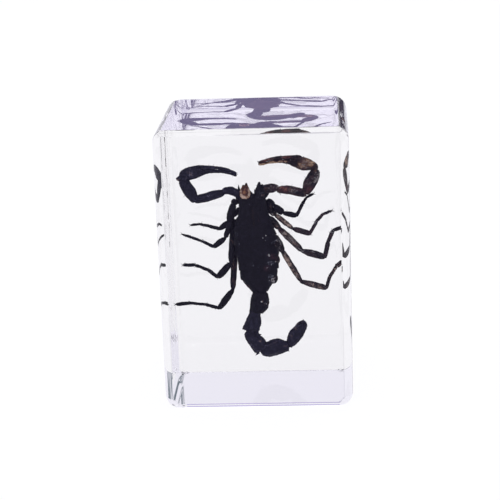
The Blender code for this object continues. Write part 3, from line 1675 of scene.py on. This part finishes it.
@dataclass(frozen=True)
class Leg:
    """One walking leg.

    Attributes:
        name: what it is called.
        joints: its hip, the joints between its segments and its foot, in millimetres.
        half_widths: half widths of its segments.
        stains_and_glints: its stains, and the places where more highlights are painted on it.
        finish: what it is made of.
    """

    name: str
    joints: tuple[Place, ...]
    half_widths: tuple[float, ...]
    stains_and_glints: tuple[StainOrGlint, ...] = ()
    finish: CuticleFinish = BLACK_CUTICLE

    def build(self) -> None:
        """Models the leg's segments, spurs and claws and joins them."""
        parts = []
        keels = Keels(angles=(45.0, 135.0))
        for part, (start, end), half_width in zip(LegPart, pairwise(self.joints), self.half_widths):
            length = (Vector(end) - Vector(start)).length
            rows = tuple((along * length, width * half_width) for along, width in part.value.profile)
            parts.append(Stretch(start, end, rows, part.value.depth).model("segment", keels=keels))
        leg = joined(self.name, parts)
        roughen(leg, Grain.SWELLS, 0.9, 0.16)
        roughen(leg, Grain.SWELLS, 0.35, 0.14)
        roughen(leg, Grain.GRANULES, 0.16, 0.06)
        leg = joined(self.name, [leg, *self.spurs(), *self.claws()])
        write_stains_and_glints(leg, self.stains_and_glints)
        leg = grow_bristles(leg, 26, 0.55, seed=len(self.name) + round(10 * self.joints[-1][2]))
        bring_in(leg, self.finish)

    def sides_of(self, joint: int) -> Iterator[tuple[float, Vector, Vector, Vector]]:
        """Both sides of a joint.

        Args:
            joint: its index.

        Yields:
            The side, the joint's place, the leg's direction before it and the direction to that side.
        """
        before, at = Vector(self.joints[joint - 1]), Vector(self.joints[joint])
        axis = (at - before).normalized()
        for side in (LEFT, RIGHT):
            yield side, at, axis, axis.cross(Vector(TOWARDS_VIEWER)).normalized() * side

    def spurs(self) -> list[Part]:
        """Short spurs at the far ends of the tibia and the basitarsus."""
        made = []
        for joint in (4, 5):
            for _, at, axis, across in self.sides_of(joint):
                root = at + across * 0.6 * self.half_widths[joint]
                made.append(spike(root, root + (axis + 0.6 * across) * 0.42, 0.07))
        return made

    def claws(self) -> list[Part]:
        """The two claws of the foot, curved towards the belly."""
        made = []
        for side, foot, axis, across in self.sides_of(-1):
            root = foot - 0.12 * axis + across * 0.08
            made.append(spike(root, root + axis * 0.75 + across * 0.3, 0.085, curl=side * 0.14))
        return made


LEGS = (
    Leg(
        "leg_1_left",
        ((-4.0, 2.6, 42.2), (-4.55, 2.6, 41.3), (-5.65, 2.1, 37.6), (-7.6, 2.2, 36.0), (-9.9, 3.8, 36.4),
         (-12.1, 5.8, 36.5), (-14.0, 7.2, 36.1)),
        (0.78, 0.8, 0.62, 0.34, 0.3, 0.22),
        (StainOrGlint(-5.0, 39.8, 0.9, 0.25),),
    ),
    Leg(
        "leg_2_left",
        ((-4.0, 2.8, 39.9), (-4.8, 2.8, 38.8), (-6.5, 1.1, 34.2), (-9.0, 1.1, 32.3), (-11.3, 2.1, 33.3),
         (-13.8, 3.2, 34.1), (-15.7, 4.2, 34.6)),
        (0.88, 0.62, 0.65, 0.32, 0.28, 0.24),
        (StainOrGlint(-5.6, 36.6, 0.8, 0.25),),
    ),
    Leg(
        "leg_3_left",
        ((-4.0, 2.9, 37.7), (-4.9, 2.8, 36.0), (-5.5, 0.2, 28.8), (-8.4, 0.2, 25.7), (-10.3, 0.8, 27.2),
         (-13.1, 1.4, 28.3), (-15.7, 2.2, 28.2)),
        (0.8, 0.65, 0.78, 0.36, 0.33, 0.33),
        (StainOrGlint(-5.2, 33.5, 1.4, 0.3),),
    ),
    Leg(
        "leg_4_left",
        ((-3.7, 2.9, 32.6), (-4.7, 2.6, 29.9), (-5.3, 0.2, 22.9), (-8.3, 0.2, 18.8), (-11.2, 0.6, 19.6),
         (-14.7, 1.1, 19.9), (-17.7, 1.8, 19.5)),
        (0.85, 0.68, 0.76, 0.33, 0.3, 0.36),
        (StainOrGlint(-4.9, 27.8, 1.6, 0.4), StainOrGlint(-4.8, 24.8, 1.0, 0.35)),
    ),
    Leg(
        "leg_1_right",
        ((2.4, 2.6, 41.8), (3.75, 2.5, 40.7), (5.9, 1.1, 39.4), (8.7, 1.2, 38.7), (9.9, 2.8, 40.9),
         (10.8, 3.8, 42.2), (12.2, 4.8, 42.7)),
        (1.0, 0.8, 0.62, 0.33, 0.29, 0.24),
        (StainOrGlint(3.4, 40.9, 0.5, 0.4), StainOrGlint(9.3, 39.8, 0.8, 0.3),
         *streak((2.9, 41.6), (4.4, 40.2), 0.5, 0.8, GRIT)),
    ),
    Leg(
        "leg_2_right",
        ((2.9, 2.8, 39.9), (4.1, 2.6, 38.8), (7.8, 0.4, 36.1), (11.4, 0.8, 34.8), (12.9, 2.2, 37.3),
         (14.1, 3.8, 38.4), (16.0, 4.8, 39.0)),
        (0.7, 0.55, 0.65, 0.33, 0.33, 0.28),
        (StainOrGlint(4.6, 38.8, 0.5, 0.75), StainOrGlint(5.6, 38.0, 0.6, 0.35, RUST),
         *streak((5.1, 38.3), (7.2, 36.8), 0.5, 0.65)),
        DUSKY_CUTICLE,
    ),
    Leg(
        "leg_3_right",
        ((3.0, 2.9, 38.0), (4.8, 2.6, 35.9), (9.7, 0.2, 31.2), (14.45, 0.4, 29.7), (15.15, 1.8, 32.65),
         (16.25, 2.8, 35.05), (18.4, 4.2, 35.5)),
        (0.8, 0.7, 0.8, 0.44, 0.41, 0.36),
        (StainOrGlint(6.0, 34.8, 0.7, 0.7), StainOrGlint(4.4, 36.4, 0.6, 0.4), *streak((6.6, 34.2), (9.0, 31.9), 0.6, 0.4),
         StainOrGlint(5.2, 35.4, 0.6, 0.5, RUST), *streak((6.5, 34.3), (9.5, 31.3), 0.6, 0.5, GRIT)),
        DUSKY_CUTICLE,
    ),
    Leg(
        "leg_4_right",
        ((3.8, 2.9, 34.0), (5.4, 2.4, 31.0), (9.3, 0.2, 24.4), (14.6, 0.2, 22.9), (15.4, 1.8, 25.1),
         (16.8, 3.2, 27.0), (18.2, 4.8, 27.8)),
        (0.95, 0.62, 0.72, 0.34, 0.33, 0.44),
        (*streak((4.3, 33.6), (5.2, 31.4), 0.6, 0.9, GRIT), *streak((5.9, 30.0), (6.8, 28.3), 0.6, 0.8),
         *streak((7.0, 27.8), (8.6, 25.2), 0.6, 0.5), *streak((10.6, 24.2), (13.6, 23.2), 0.6, 0.4),
         *streak((15.4, 25.3), (17.8, 27.6), 0.5, 0.45)),
        DUSKY_CUTICLE,
    ),
)


@dataclass(frozen=True)
class Arm:
    """One arm with its pincer.

    Attributes:
        name: what it is called.
        upper: trochanter, femur and patella.
        palm: the palm and the fixed finger, which are one.
        finger: the moving finger.
        gap_side: -1 or 1, the side of the fixed finger that faces the moving one.
        spines: root, tip and radius of each larger spine.
        stains_and_glints: its stains, and the places where more highlights are painted on it.
        finish: what it is made of.
    """

    name: str
    upper: tuple[Stretch, ...]
    palm: Stretch
    finger: Stretch
    gap_side: float
    spines: tuple[tuple[Place, Place, float], ...] = ()
    stains_and_glints: tuple[StainOrGlint, ...] = ()
    finish: CuticleFinish = BLACK_CUTICLE

    def build(self) -> None:
        """Models the arm's segments, teeth and spines and joins them."""
        keels = Keels(angles=(22.5, 67.5, 112.5), height=1.08)
        parts = [stretch.model("segment", keels=keels) for stretch in (*self.upper, self.palm, self.finger)]
        arm = joined(self.name, parts)
        subdivide(arm, 1)
        roughen(arm, Grain.SWELLS, 1.1, 0.16)
        roughen(arm, Grain.SWELLS, 0.4, 0.12)
        roughen(arm, Grain.GRANULES, 0.22, 0.08)
        spines = [spike(root, tip, radius) for root, tip, radius in self.spines]
        arm = joined(self.name, [arm, *self.teeth(), *spines])
        write_stains_and_glints(arm, self.stains_and_glints)
        arm = grow_bristles(arm, 40, 0.6, seed=round(10 * self.palm.start[0]))
        bring_in(arm, self.finish)

    def teeth(self) -> list[Part]:
        """The rows of small teeth along the edges of the fingers that meet."""
        made = []
        gaps, last = 11, 0.95
        for stretch, side, first in ((self.palm, self.gap_side, 0.5), (self.finger, -self.gap_side, 0.3)):
            for step in range(gaps + 1):
                share = first + (last - first) * step / gaps
                root = stretch.edge(share, 0.75 * side, raised=0.5)
                tip = stretch.edge(share + 0.004, 1.25 * side, raised=0.65)
                made.append(spike(root, tip, 0.055, sides=5))
        return made


PALM_LEFT = ((-15.4, 3.3, 47.3), (-3.8, 3.2, 47.67))
PALM_RIGHT = ((12.97, 3.3, 48.77), (1.08, 3.2, 49.81))

ARMS = (
    Arm(
        name="arm_left",
        upper=(
            Stretch((-3.0, 1.3, 43.7), (-6.7, 1.6, 44.3), (
                (0.0, 0.7, 0.1), (0.4, 0.85, 0.1), (1.1, 0.82, -0.15), (1.9, 0.9, -0.4),
                (2.7, 0.76, -0.35), (3.3, 0.74, -0.15), (3.75, 0.62, -0.02), (3.9, 0.4),
            )),
            Stretch((-6.69, 1.6, 43.9), (-12.67, 3.0, 42.4), (
                (-0.3, 0.4, 0.02), (-0.05, 0.62, 0.02), (0.4, 0.8), (1.2, 0.9, -0.06), (2.4, 0.94),
                (3.6, 0.96, 0.15), (4.9, 0.92, 0.08), (5.9, 0.85, 0.1), (6.6, 0.6, 0.1),
            )),
            Stretch((-12.75, 3.0, 42.1), (-15.2, 3.3, 47.1), (
                (-0.35, 0.45, -0.1), (0.1, 0.8, -0.1), (0.6, 0.98, -0.05), (1.2, 1.14, -0.06),
                (2.0, 1.28, -0.08), (3.0, 1.28, 0.05), (4.0, 1.18, 0.08), (5.0, 1.04, 0.09),
                (5.5, 0.6, 0.1),
            )),
        ),
        palm=Stretch(*PALM_LEFT, (
            (-0.45, 0.6), (-0.1, 1.1, 0.02), (0.5, 1.3, 0.25), (1.2, 1.34, 0.5), (2.3, 1.37, 0.73),
            (3.3, 1.32, 0.9), (3.9, 1.12, 0.92), (4.5, 0.75, 0.8), (5.2, 0.48, 0.8), (5.8, 0.41, 0.87),
            (7.0, 0.36, 0.89), (8.1, 0.33, 0.83), (9.3, 0.32, 0.57), (10.4, 0.31, 0.21),
            (11.2, 0.3, -0.1), (11.6, 0.26, -0.22), (11.75, 0.14, -0.25),
        )),
        finger=Stretch(*PALM_LEFT, (
            (2.9, 0.3, 1.75), (3.3, 0.5, 1.8), (4.0, 0.52, 1.82), (4.7, 0.47, 1.8), (5.8, 0.42, 1.7),
            (7.0, 0.38, 1.61), (8.1, 0.34, 1.5), (9.3, 0.33, 1.22), (10.4, 0.31, 0.83),
            (11.2, 0.28, 0.42), (11.6, 0.2, 0.24), (11.75, 0.1, 0.18),
        ), 1.0),
        gap_side=RIGHT,
        spines=(
            ((-15.5, 3.2, 47.05), (-16.5, 3.1, 47.0), 0.6),
            ((-15.5, 3.2, 46.8), (-16.45, 3.1, 46.75), 0.55),
        ),
        stains_and_glints=(StainOrGlint(-13.3, 48.2, 1.0, 0.3), StainOrGlint(-14.8, 47.7, 0.5, 0.25), StainOrGlint(-8.9, 43.0, 0.8, 0.15),
                StainOrGlint(-16.1, 46.8, 0.35, 0.8), StainOrGlint(-6.6, 44.6, 0.8, 0.2)),
        finish=PAINTED_SHEEN_CUTICLE,
    ),
    Arm(
        name="arm_right",
        upper=(
            Stretch((2.0, 1.3, 44.5), (4.95, 1.6, 44.77), (
                (-0.5, 0.7), (0.1, 0.9, 0.1), (0.7, 0.85, 0.05), (1.4, 0.96, 0.12), (2.0, 0.9, 0.08),
                (2.5, 0.76, 0.05), (2.95, 0.62, 0.03), (3.2, 0.4),
            )),
            Stretch((4.9, 1.6, 44.34), (10.86, 3.0, 43.44), (
                (-0.3, 0.4), (0.0, 0.62, 0.06), (0.4, 0.76, 0.1), (1.2, 0.86, 0.12), (2.4, 0.92, 0.18),
                (3.6, 0.92, 0.05), (4.8, 0.9, -0.15), (5.7, 0.85, -0.25), (6.3, 0.6, -0.2),
            )),
            Stretch((10.75, 3.0, 43.23), (12.96, 3.3, 48.45), (
                (-0.3, 0.45, -0.05), (0.1, 0.75, -0.02), (0.6, 0.92, 0.04), (1.2, 1.12, 0.07),
                (2.1, 1.33, 0.05), (3.0, 1.34, -0.05), (4.0, 1.22, -0.12), (5.0, 1.0, -0.13),
                (5.7, 0.6, -0.1),
            )),
        ),
        palm=Stretch(*PALM_RIGHT, (
            (-0.45, 0.45, 0.05), (0.0, 0.8, 0.02), (0.6, 0.95, -0.2), (1.2, 1.08, -0.41),
            (2.4, 1.38, -0.47), (3.3, 1.4, -0.68), (4.0, 1.18, -0.75), (4.8, 0.68, -0.5),
            (5.4, 0.5, -0.62), (6.0, 0.44, -0.74), (7.2, 0.38, -0.83), (8.4, 0.36, -0.72),
            (9.5, 0.34, -0.5), (10.7, 0.32, -0.12), (11.5, 0.29, 0.05), (11.95, 0.24, 0.12),
            (12.1, 0.13, 0.12),
        )),
        finger=Stretch(*PALM_RIGHT, (
            (3.0, 0.3, -1.75), (3.5, 0.52, -1.82), (4.2, 0.55, -1.75), (4.8, 0.53, -1.64),
            (6.0, 0.44, -1.62), (7.2, 0.39, -1.6), (8.4, 0.36, -1.42), (9.5, 0.34, -1.16),
            (10.7, 0.31, -0.72), (11.5, 0.28, -0.4), (11.95, 0.2, -0.26), (12.1, 0.1, -0.22),
        ), 1.0),
        gap_side=LEFT,
        spines=(((9.0, 3.2, 50.9), (9.05, 3.1, 51.6), 0.22), ((10.3, 3.2, 50.6), (10.5, 3.1, 51.2), 0.2)),
        stains_and_glints=(
            *streak((1.2, 49.5), (3.6, 49.9), 0.3, 0.9),
            *streak((3.6, 49.95), (6.8, 50.15), 0.22, 0.9),
            *streak((1.7, 50.3), (3.2, 50.75), 0.3, 0.4),
            *streak((6.1, 51.05), (7.6, 51.2), 0.35, 0.7, RUST),
            *streak((2.2, 50.4), (3.6, 50.8), 0.3, 0.7, RUST),
            StainOrGlint(8.0, 50.2, 0.8, -0.5),
            StainOrGlint(9.9, 49.3, 0.9, 0.85),
            StainOrGlint(11.1, 49.8, 0.9, 0.85),
            StainOrGlint(12.1, 49.5, 0.7, 0.65),
            *streak((11.7, 51.0), (13.1, 50.2), 0.35, 0.7),
            StainOrGlint(10.6, 49.5, 0.9, 0.4, RUST),
            StainOrGlint(12.6, 48.2, 0.6, 0.35),
            *streak((10.2, 45.4), (10.9, 47.3), 0.6, 1.0, GRIT),
            *streak((13.3, 45.6), (13.1, 47.8), 0.6, 1.0, GRIT),
            StainOrGlint(12.2, 46.4, 1.1, 0.5, GRIT),
            StainOrGlint(11.5, 44.2, 0.9, 0.5, RUST),
            StainOrGlint(5.6, 44.9, 0.6, 0.9, RUST),
            StainOrGlint(6.5, 44.4, 0.6, 0.9, RUST),
            StainOrGlint(6.0, 44.2, 0.4, 0.4),
            *streak((7.0, 44.1), (10.2, 43.8), 0.6, 0.8, GRIT),
            *streak((2.8, 45.2), (4.9, 45.2), 0.6, 0.8, GRIT),
        ),
        finish=BROWN_CUTICLE,
    ),
)


@dataclass
class Tail:
    """The five keeled segments of the tail, the skin at their joints and the sting.

    Attributes:
        keels: the long ridges of each segment.
        segments: the segments, from the trunk outwards.
        spines: segment, root and tip of each larger spine.
        stains_and_glints: the stains of each segment.
    """

    keels: Keels = Keels(angles=(30.0, 75.0, 120.0, 165.0), height=1.11)
    segments: tuple[Stretch, ...] = (
        Stretch((0.54, 0.35, 22.36), (-0.57, 0.3, 17.78), (
            (-0.2, 1.2, 0.1), (0.1, 1.48, 0.14), (0.5, 1.62, 0.18), (1.2, 1.84, 0.28), (2.3, 1.94, 0.4),
            (3.2, 1.88, 0.4), (3.9, 1.66, 0.32), (4.5, 1.38, 0.12), (4.8, 1.2, 0.02), (4.95, 0.8),
        )),
        Stretch((-0.56, 0.3, 17.89), (-1.74, 0.2, 13.5), (
            (-0.25, 0.95, -0.1), (0.0, 1.2, -0.08), (0.5, 1.17, -0.1), (1.0, 1.25), (1.8, 1.57, 0.09),
            (2.8, 1.63, 0.03), (3.7, 1.67, -0.04), (4.2, 1.68, -0.12), (4.55, 1.45, -0.1),
            (4.7, 0.9, -0.1),
        )),
        Stretch((-1.74, 0.2, 13.62), (0.38, 0.1, 9.13), (
            (-0.25, 1.05, -0.2), (0.0, 1.35, -0.2), (0.5, 1.46, -0.2), (1.2, 1.49, -0.3),
            (1.9, 1.46, -0.3), (2.5, 1.7, -0.04), (3.4, 1.7, 0.07), (4.3, 1.6, 0.06), (4.9, 1.42, 0.06),
            (5.15, 0.9),
        )),
        Stretch((0.49, 0.1, 9.48), (6.32, 0.2, 9.94), (
            (-0.35, 1.0), (0.0, 1.4), (0.5, 1.58, -0.1), (1.2, 1.6, -0.29), (1.8, 1.72, -0.12),
            (2.9, 1.77, 0.09), (3.6, 1.73, 0.19), (4.3, 1.5, 0.15), (5.0, 1.18, 0.04), (5.6, 1.02, 0.1),
            (5.9, 0.7, 0.1),
        )),
        Stretch((6.28, 0.2, 10.17), (9.79, 0.5, 15.59), (
            (-0.3, 0.55), (0.0, 0.78, -0.05), (0.6, 0.96, -0.14), (1.3, 1.19, -0.06), (2.1, 1.38),
            (3.1, 1.44, -0.02), (4.0, 1.3, -0.13), (5.0, 1.08, -0.24), (5.8, 0.82, -0.23),
            (6.25, 0.5, -0.12), (6.4, 0.25, -0.1),
        )),
    )
    spines: tuple[tuple[int, Place, Place], ...] = (
        (1, (-2.95, 0.1, 14.5), (-3.6, 0.1, 14.1)),
        (2, (-0.1, 0.0, 12.6), (0.5, 0.0, 12.75)),
        (2, (-0.2, 0.0, 8.7), (-0.95, 0.0, 7.95)),
        (3, (1.2, 0.0, 8.3), (0.85, 0.0, 7.8)),
        (3, (5.8, 0.1, 9.2), (6.4, 0.1, 8.75)),
    )
    stains_and_glints: tuple[tuple[StainOrGlint, ...], ...] = (
        (StainOrGlint(2.0, 20.0, 0.6, 0.35), StainOrGlint(1.0, 20.4, 0.3, 0.6)),
        (),
        (StainOrGlint(0.3, 11.6, 0.6, 0.35),),
        (StainOrGlint(3.4, 11.1, 0.9, 0.35), StainOrGlint(5.6, 10.2, 0.6, 0.4), StainOrGlint(2.2, 7.9, 0.5, 0.3)),
        (StainOrGlint(6.9, 12.2, 0.9, 0.4), StainOrGlint(7.9, 14.2, 0.7, 0.4), StainOrGlint(9.2, 15.3, 0.5, 0.3)),
    )

    def build(self) -> None:
        """Models and dresses the segments, the skin at their joints and the sting."""
        for index, segment in enumerate(self.segments):
            self.build_segment(index, segment)
        self.build_joint_skin()
        self.build_sting()

    def build_segment(self, index: int, segment: Stretch) -> None:
        """One segment, with granules along its keels and a spine at the end of each.

        Args:
            index: its number, counted from 0 at the trunk.
            segment: where it lies and its sections.
        """
        name = f"tail_segment_{index + 1}"
        limb = segment.model(name, sides=24, keels=self.keels, levels=3)
        roughen(limb, Grain.SWELLS, 1.0, 0.1)
        roughen(limb, Grain.GRANULES, 0.26, 0.34, "keels")
        roughen(limb, Grain.GRANULES, 0.2, 0.05)
        large, small = 0.28, 0.16
        spines = [spike(root, tip, large) for number, root, tip in self.spines if number == index]
        for angle in self.keels.angles[:2]:
            for side in (LEFT, RIGHT):
                across, up = side * math.sin(math.radians(angle)), math.cos(math.radians(angle))
                root = segment.edge(0.88, across * 0.95, up * 0.95)
                tip = segment.edge(0.97, across * 1.3, up * 1.3)
                spines.append(spike(root, tip, small))
        limb = joined(name, [limb, *spines])
        write_stains_and_glints(limb, self.stains_and_glints[index])
        bring_in(limb, BLACK_CUTICLE if index == 0 else PAINTED_SHEEN_CUTICLE)

    def build_joint_skin(self) -> None:
        """The folded skin in the joints between the segments."""
        parts = []
        folds = ((0.0, 0.8), (0.2, 1.0), (0.35, 0.88), (0.5, 1.0), (0.65, 0.88), (0.8, 1.0), (1.0, 0.8))
        for before, after in pairwise(self.segments):
            start, end = before.edge(0.9, 0.0), after.edge(0.1, 0.0)
            length = (end - start).length
            half = 0.72 * min(before.rows[-3][1], after.rows[2][1])
            rows = tuple((share * length, half * width) for share, width in folds)
            parts.append(Stretch(start, end, rows).model("fold"))
        skin = joined("tail_joint_skin", parts)
        roughen(skin, Grain.WRINKLES, 0.4, 0.08)
        write_stains_and_glints(skin, (), overall=0.1)
        bring_in(skin, MEMBRANE)

    def build_sting(self) -> None:
        """The bulb and its curved sting, folded flat behind the last segment."""
        bulb = Stretch((9.5, 1.5, 15.1), (7.75, 2.7, 12.2), (
            (-0.4, 0.3), (0.0, 0.45), (0.5, 0.8), (1.3, 1.05), (2.2, 1.02), (2.9, 0.72), (3.4, 0.42),
            (3.7, 0.3),
        ), 0.95)
        parts = [bulb.model("bulb", levels=3)]
        point = Stretch((7.9, 2.6, 12.35), (6.75, 1.95, 10.6), (
            (-0.2, 0.32), (0.3, 0.3, 0.1), (0.8, 0.22, 0.22), (1.4, 0.13, 0.26), (1.9, 0.07, 0.16),
            (2.2, 0.02),
        ), 1.0)
        parts.append(point.model("point"))
        sting = joined("sting", parts)
        roughen(sting, Grain.SWELLS, 0.7, 0.1)
        roughen(sting, Grain.GRANULES, 0.24, 0.06)
        write_stains_and_glints(sting, (StainOrGlint(8.5, 13.6, 1.0, 0.3),))
        sting = grow_bristles(sting, 16, 0.5, seed=5)
        bring_in(sting, BROWN_CUTICLE)


@dataclass
class AirSpecks:
    """Specks of trapped air on the side of the specimen that faces the viewer.

    Attributes:
        specks: across, up and radius of each, in millimetres.
        lift: how far the middle of each stands out of the surface.
        reach: how far in front of the block's middle the search for that surface starts.
        hosts: how the names of the pieces begin that they may lie on.
    """

    specks: tuple[tuple[float, float, float], ...] = (
        (1.5, 34.4, 0.06),
        (2.15, 34.9, 0.08),
        (2.0, 33.8, 0.06),
        (2.72, 30.45, 0.12),
        (2.66, 30.75, 0.07),
        (3.1, 28.4, 0.05),
        (2.3, 27.9, 0.05),
        (3.4, 25.9, 0.05),
        (2.6, 24.9, 0.05),
        (0.8, 20.4, 0.12),
        (1.5, 20.05, 0.05),
        (1.75, 19.75, 0.08),
        (3.9, 40.6, 0.05),
    )
    lift: float = 0.03
    reach: float = 18.0
    hosts: tuple[str, ...] = ("back", "cara", "tail", "leg")

    def build(self) -> None:
        """Drops the specks onto the specimen from the viewing face, as one piece."""
        hosts = [piece for piece in bpy.context.scene.objects if piece.name.startswith(self.hosts)]
        blobs = []
        for number, (across, up, radius) in enumerate(self.specks):
            depth = self.surface(hosts, across, up) / MM
            blob = dome((across, depth - self.lift, up), radius, flatness=0.45)
            side = (-1) ** number
            with editing(blob, lambda at: (at.x - across) * side > 0.0):
                bpy.ops.transform.resize(value=(1.5, 1.0, 0.7), center_override=(across, depth, up))
            blobs.append(blob)
        air = joined("air_specks", blobs)
        roughen(air, Grain.SWELLS, 0.2, 0.08)
        bring_in(air, AirFinish())

    def surface(self, hosts: Sequence[Part], across: float, up: float) -> float:
        """How deep the surface lies that faces the viewer.

        Args:
            hosts: the pieces that it may belong to.
            across: the point's place along X, in millimetres.
            up: its place along Z, in millimetres.

        Returns:
            The depth along +Y, in metres.
        """
        start = Vector((across, -self.reach, up)) * MM
        hits = [host.ray_cast(start, Vector((0.0, 1.0, 0.0))) for host in hosts]
        return min((place.y for found, place, _, _ in hits if found), default=0.0)


# The studio.


@dataclass(frozen=True)
class Card:
    """A sheet or lamp of the studio's surround, seen as a round patch in one direction.

    Attributes:
        azimuth: degrees from straight behind the block, towards +X.
        elevation: degrees above the horizon.
        inner: how far from its middle it is full, in degrees.
        outer: how far from its middle it fades out.
        colour: its colour.
        ragged: how finely it is broken up into scraps. At 0 it is whole.
    """

    azimuth: float
    elevation: float
    inner: float
    outer: float
    colour: Colour
    ragged: float = 0.0

    def direction(self) -> Place:
        """The direction of its middle."""
        turn, rise = math.radians(self.azimuth), math.radians(self.elevation)
        return (math.sin(turn) * math.cos(rise), math.cos(turn) * math.cos(rise), math.sin(rise))


@dataclass
class Studio:
    """Floor, light and camera. The camera stands where it sees the block as the photograph does.

    Attributes:
        floor_size: the floor's side, in metres.
        floor_gap: how far it lies below the block.
        floor_colour: its colour.
        floor_glow: colour of the light that comes through it.
        spot_glow: how much stronger that light is under the block.
        spot: how far from the middle the stronger light ends, and how far the floor's own starts.
        surround: colour of the light all round.
        cards: what stands out in it.
        scraps: which part of the noise breaks a ragged card up.
        lens: the camera's focal length, in millimetres.
        sensor: its sensor's width, in millimetres.
        aim: the point that it looks at.
        distance: how far from that point it stands.
        pitch: how far it looks down, in degrees.
        azimuth: how far it stands off to the right, in degrees.
        roll: how far it is tilted, in degrees.
    """

    floor_size: float = 6.0
    floor_gap: float = 0.05 * MM
    floor_colour: Colour = (0.05, 0.05, 0.05)
    floor_glow: Colour = (0.956, 0.956, 0.966)
    spot_glow: float = 0.36
    spot: tuple[float, float] = (16.5 * MM, 17.6 * MM)
    surround: Colour = (0.935, 0.925, 1.0)
    cards: tuple[Card, ...] = (
        Card(-3.0, 11.2, 5.0, 6.5, (0.47, 0.405, 0.71)),
        Card(11.0, 1.0, 3.5, 6.0, (0.1, 0.09, 0.14)),
        Card(20.0, 23.5, 8.0, 11.0, (0.12, 0.16, 0.19), ragged=28.0),
        Card(180.0, -16.5, 12.0, 16.0, (0.12, 0.11, 0.2)),
        Card(180.0, 44.0, 10.0, 22.0, (3.3, 3.3, 3.4)),
    )
    scraps: tuple[float, float] = (0.42, 0.54)
    lens: float = 107.635
    sensor: float = 36.0
    aim: Place = (-1.678 * MM, 0.0, 29.762 * MM)
    distance: float = 322.29 * MM
    pitch: float = 16.473
    azimuth: float = 3.158
    roll: float = -2.060

    def build(self) -> None:
        """Sets up the studio."""
        self.lay_floor()
        self.set_light()
        self.set_camera()
        self.set_exposure()

    def lay_floor(self) -> None:
        """A plain pale floor, lit from below like a light table, a hair below the block."""
        clear_selection()
        bpy.ops.mesh.primitive_plane_add(size=self.floor_size, location=(0.0, 0.0, -self.floor_gap))
        floor = bpy.context.active_object
        floor.name = "floor"
        bpy.ops.object.transform_apply(location=True)
        paper = bpy.data.materials.new("pale_floor")
        floor.data.materials.append(paper)
        wiring = Wiring(paper)
        shade = tuple(0.985 * part for part in self.floor_colour)
        blotches = wiring.noise(2.0 * MM)
        wiring.give("Base Color", wiring.steps(blotches, (0.3, shade), (0.7, self.floor_colour)))
        wiring.give("Roughness", 0.9)
        wiring.give("Specular IOR Level", 0.0)
        wiring.give("Emission Color", self.floor_glow)
        off = wiring.add("VectorMath", operation="ABSOLUTE")
        wiring.link(wiring.add("TexCoord").outputs["Object"], off.inputs[0])
        sides = wiring.add("SeparateXYZ")
        wiring.link(off.outputs["Vector"], sides.inputs["Vector"])
        distance = wiring.reckon("MAXIMUM", sides.outputs["X"], sides.outputs["Y"])
        wiring.give("Emission Strength", wiring.spread(distance, *self.spot, 1.0 + self.spot_glow, 1.0))
        floor.visible_glossy = False

    def set_light(self) -> None:
        """Even white light all round, with cards behind and low in front, and a lamp high in front."""
        world = bpy.data.worlds.new("soft_studio")
        bpy.context.scene.world = world
        wiring = Wiring(world, "Background")
        light = self.surround
        for card in self.cards:
            towards = wiring.add("VectorMath", operation="DOT_PRODUCT")
            wiring.link(wiring.add("TexCoord").outputs["Generated"], towards.inputs[0])
            towards.inputs[1].default_value = card.direction()
            edges = (math.cos(math.radians(angle)) for angle in (card.outer, card.inner))
            share = wiring.spread(towards.outputs["Value"], *edges, course="SMOOTHSTEP")
            if card.ragged:
                scraps = wiring.pattern("TexNoise", 1.0 / card.ragged, "Generated").outputs["Fac"]
                share = wiring.reckon("MULTIPLY", share, wiring.spread(scraps, *self.scraps))
            light = wiring.mix(share, light, card.colour)
        wiring.give("Color", light)

    def set_camera(self) -> None:
        """The camera, aimed at the block and turned by its pitch, azimuth and roll."""
        data = bpy.data.cameras.new("camera")
        data.lens = self.lens
        data.sensor_width = self.sensor
        data.clip_start = 0.01
        data.clip_end = 20.0
        camera = bpy.data.objects.new("camera", data)
        bpy.context.scene.collection.objects.link(camera)
        turn = Matrix.Rotation(math.radians(self.azimuth), 4, "Z")
        turn @= Matrix.Rotation(math.radians(90.0 - self.pitch), 4, "X")
        back_off = Matrix.Translation((0.0, 0.0, self.distance))
        roll = Matrix.Rotation(math.radians(self.roll), 4, "Z")
        camera.matrix_world = Matrix.Translation(self.aim) @ turn @ back_off @ roll
        bpy.context.scene.camera = camera

    def set_exposure(self) -> None:
        """Straight colours, and enough light bounces for the inside of a block of resin."""
        scene = bpy.context.scene
        scene.view_settings.view_transform = "Standard"
        scene.cycles.max_bounces = 32
        scene.cycles.transmission_bounces = 32
        scene.cycles.glossy_bounces = 16
        scene.cycles.diffuse_bounces = 6
        scene.cycles.use_denoising = True
        scene.cycles.denoiser = "OPENIMAGEDENOISE"
        scene.cycles.seed = 7


def main() -> None:
    """Builds the block, the specimen and the studio in order, and notes the model's size."""
    logging.basicConfig(level=logging.INFO, format="%(name)s: %(message)s", stream=sys.stdout)
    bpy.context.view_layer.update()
    ResinBlock().build()
    Trunk().build()
    Underside().build()
    for jaw in CHELICERAE:
        jaw.build()
    for leg in LEGS:
        leg.build()
    for arm in ARMS:
        arm.build()
    Tail().build()
    AirSpecks().build()
    Studio().build()


if __name__ == "__main__":
    main()
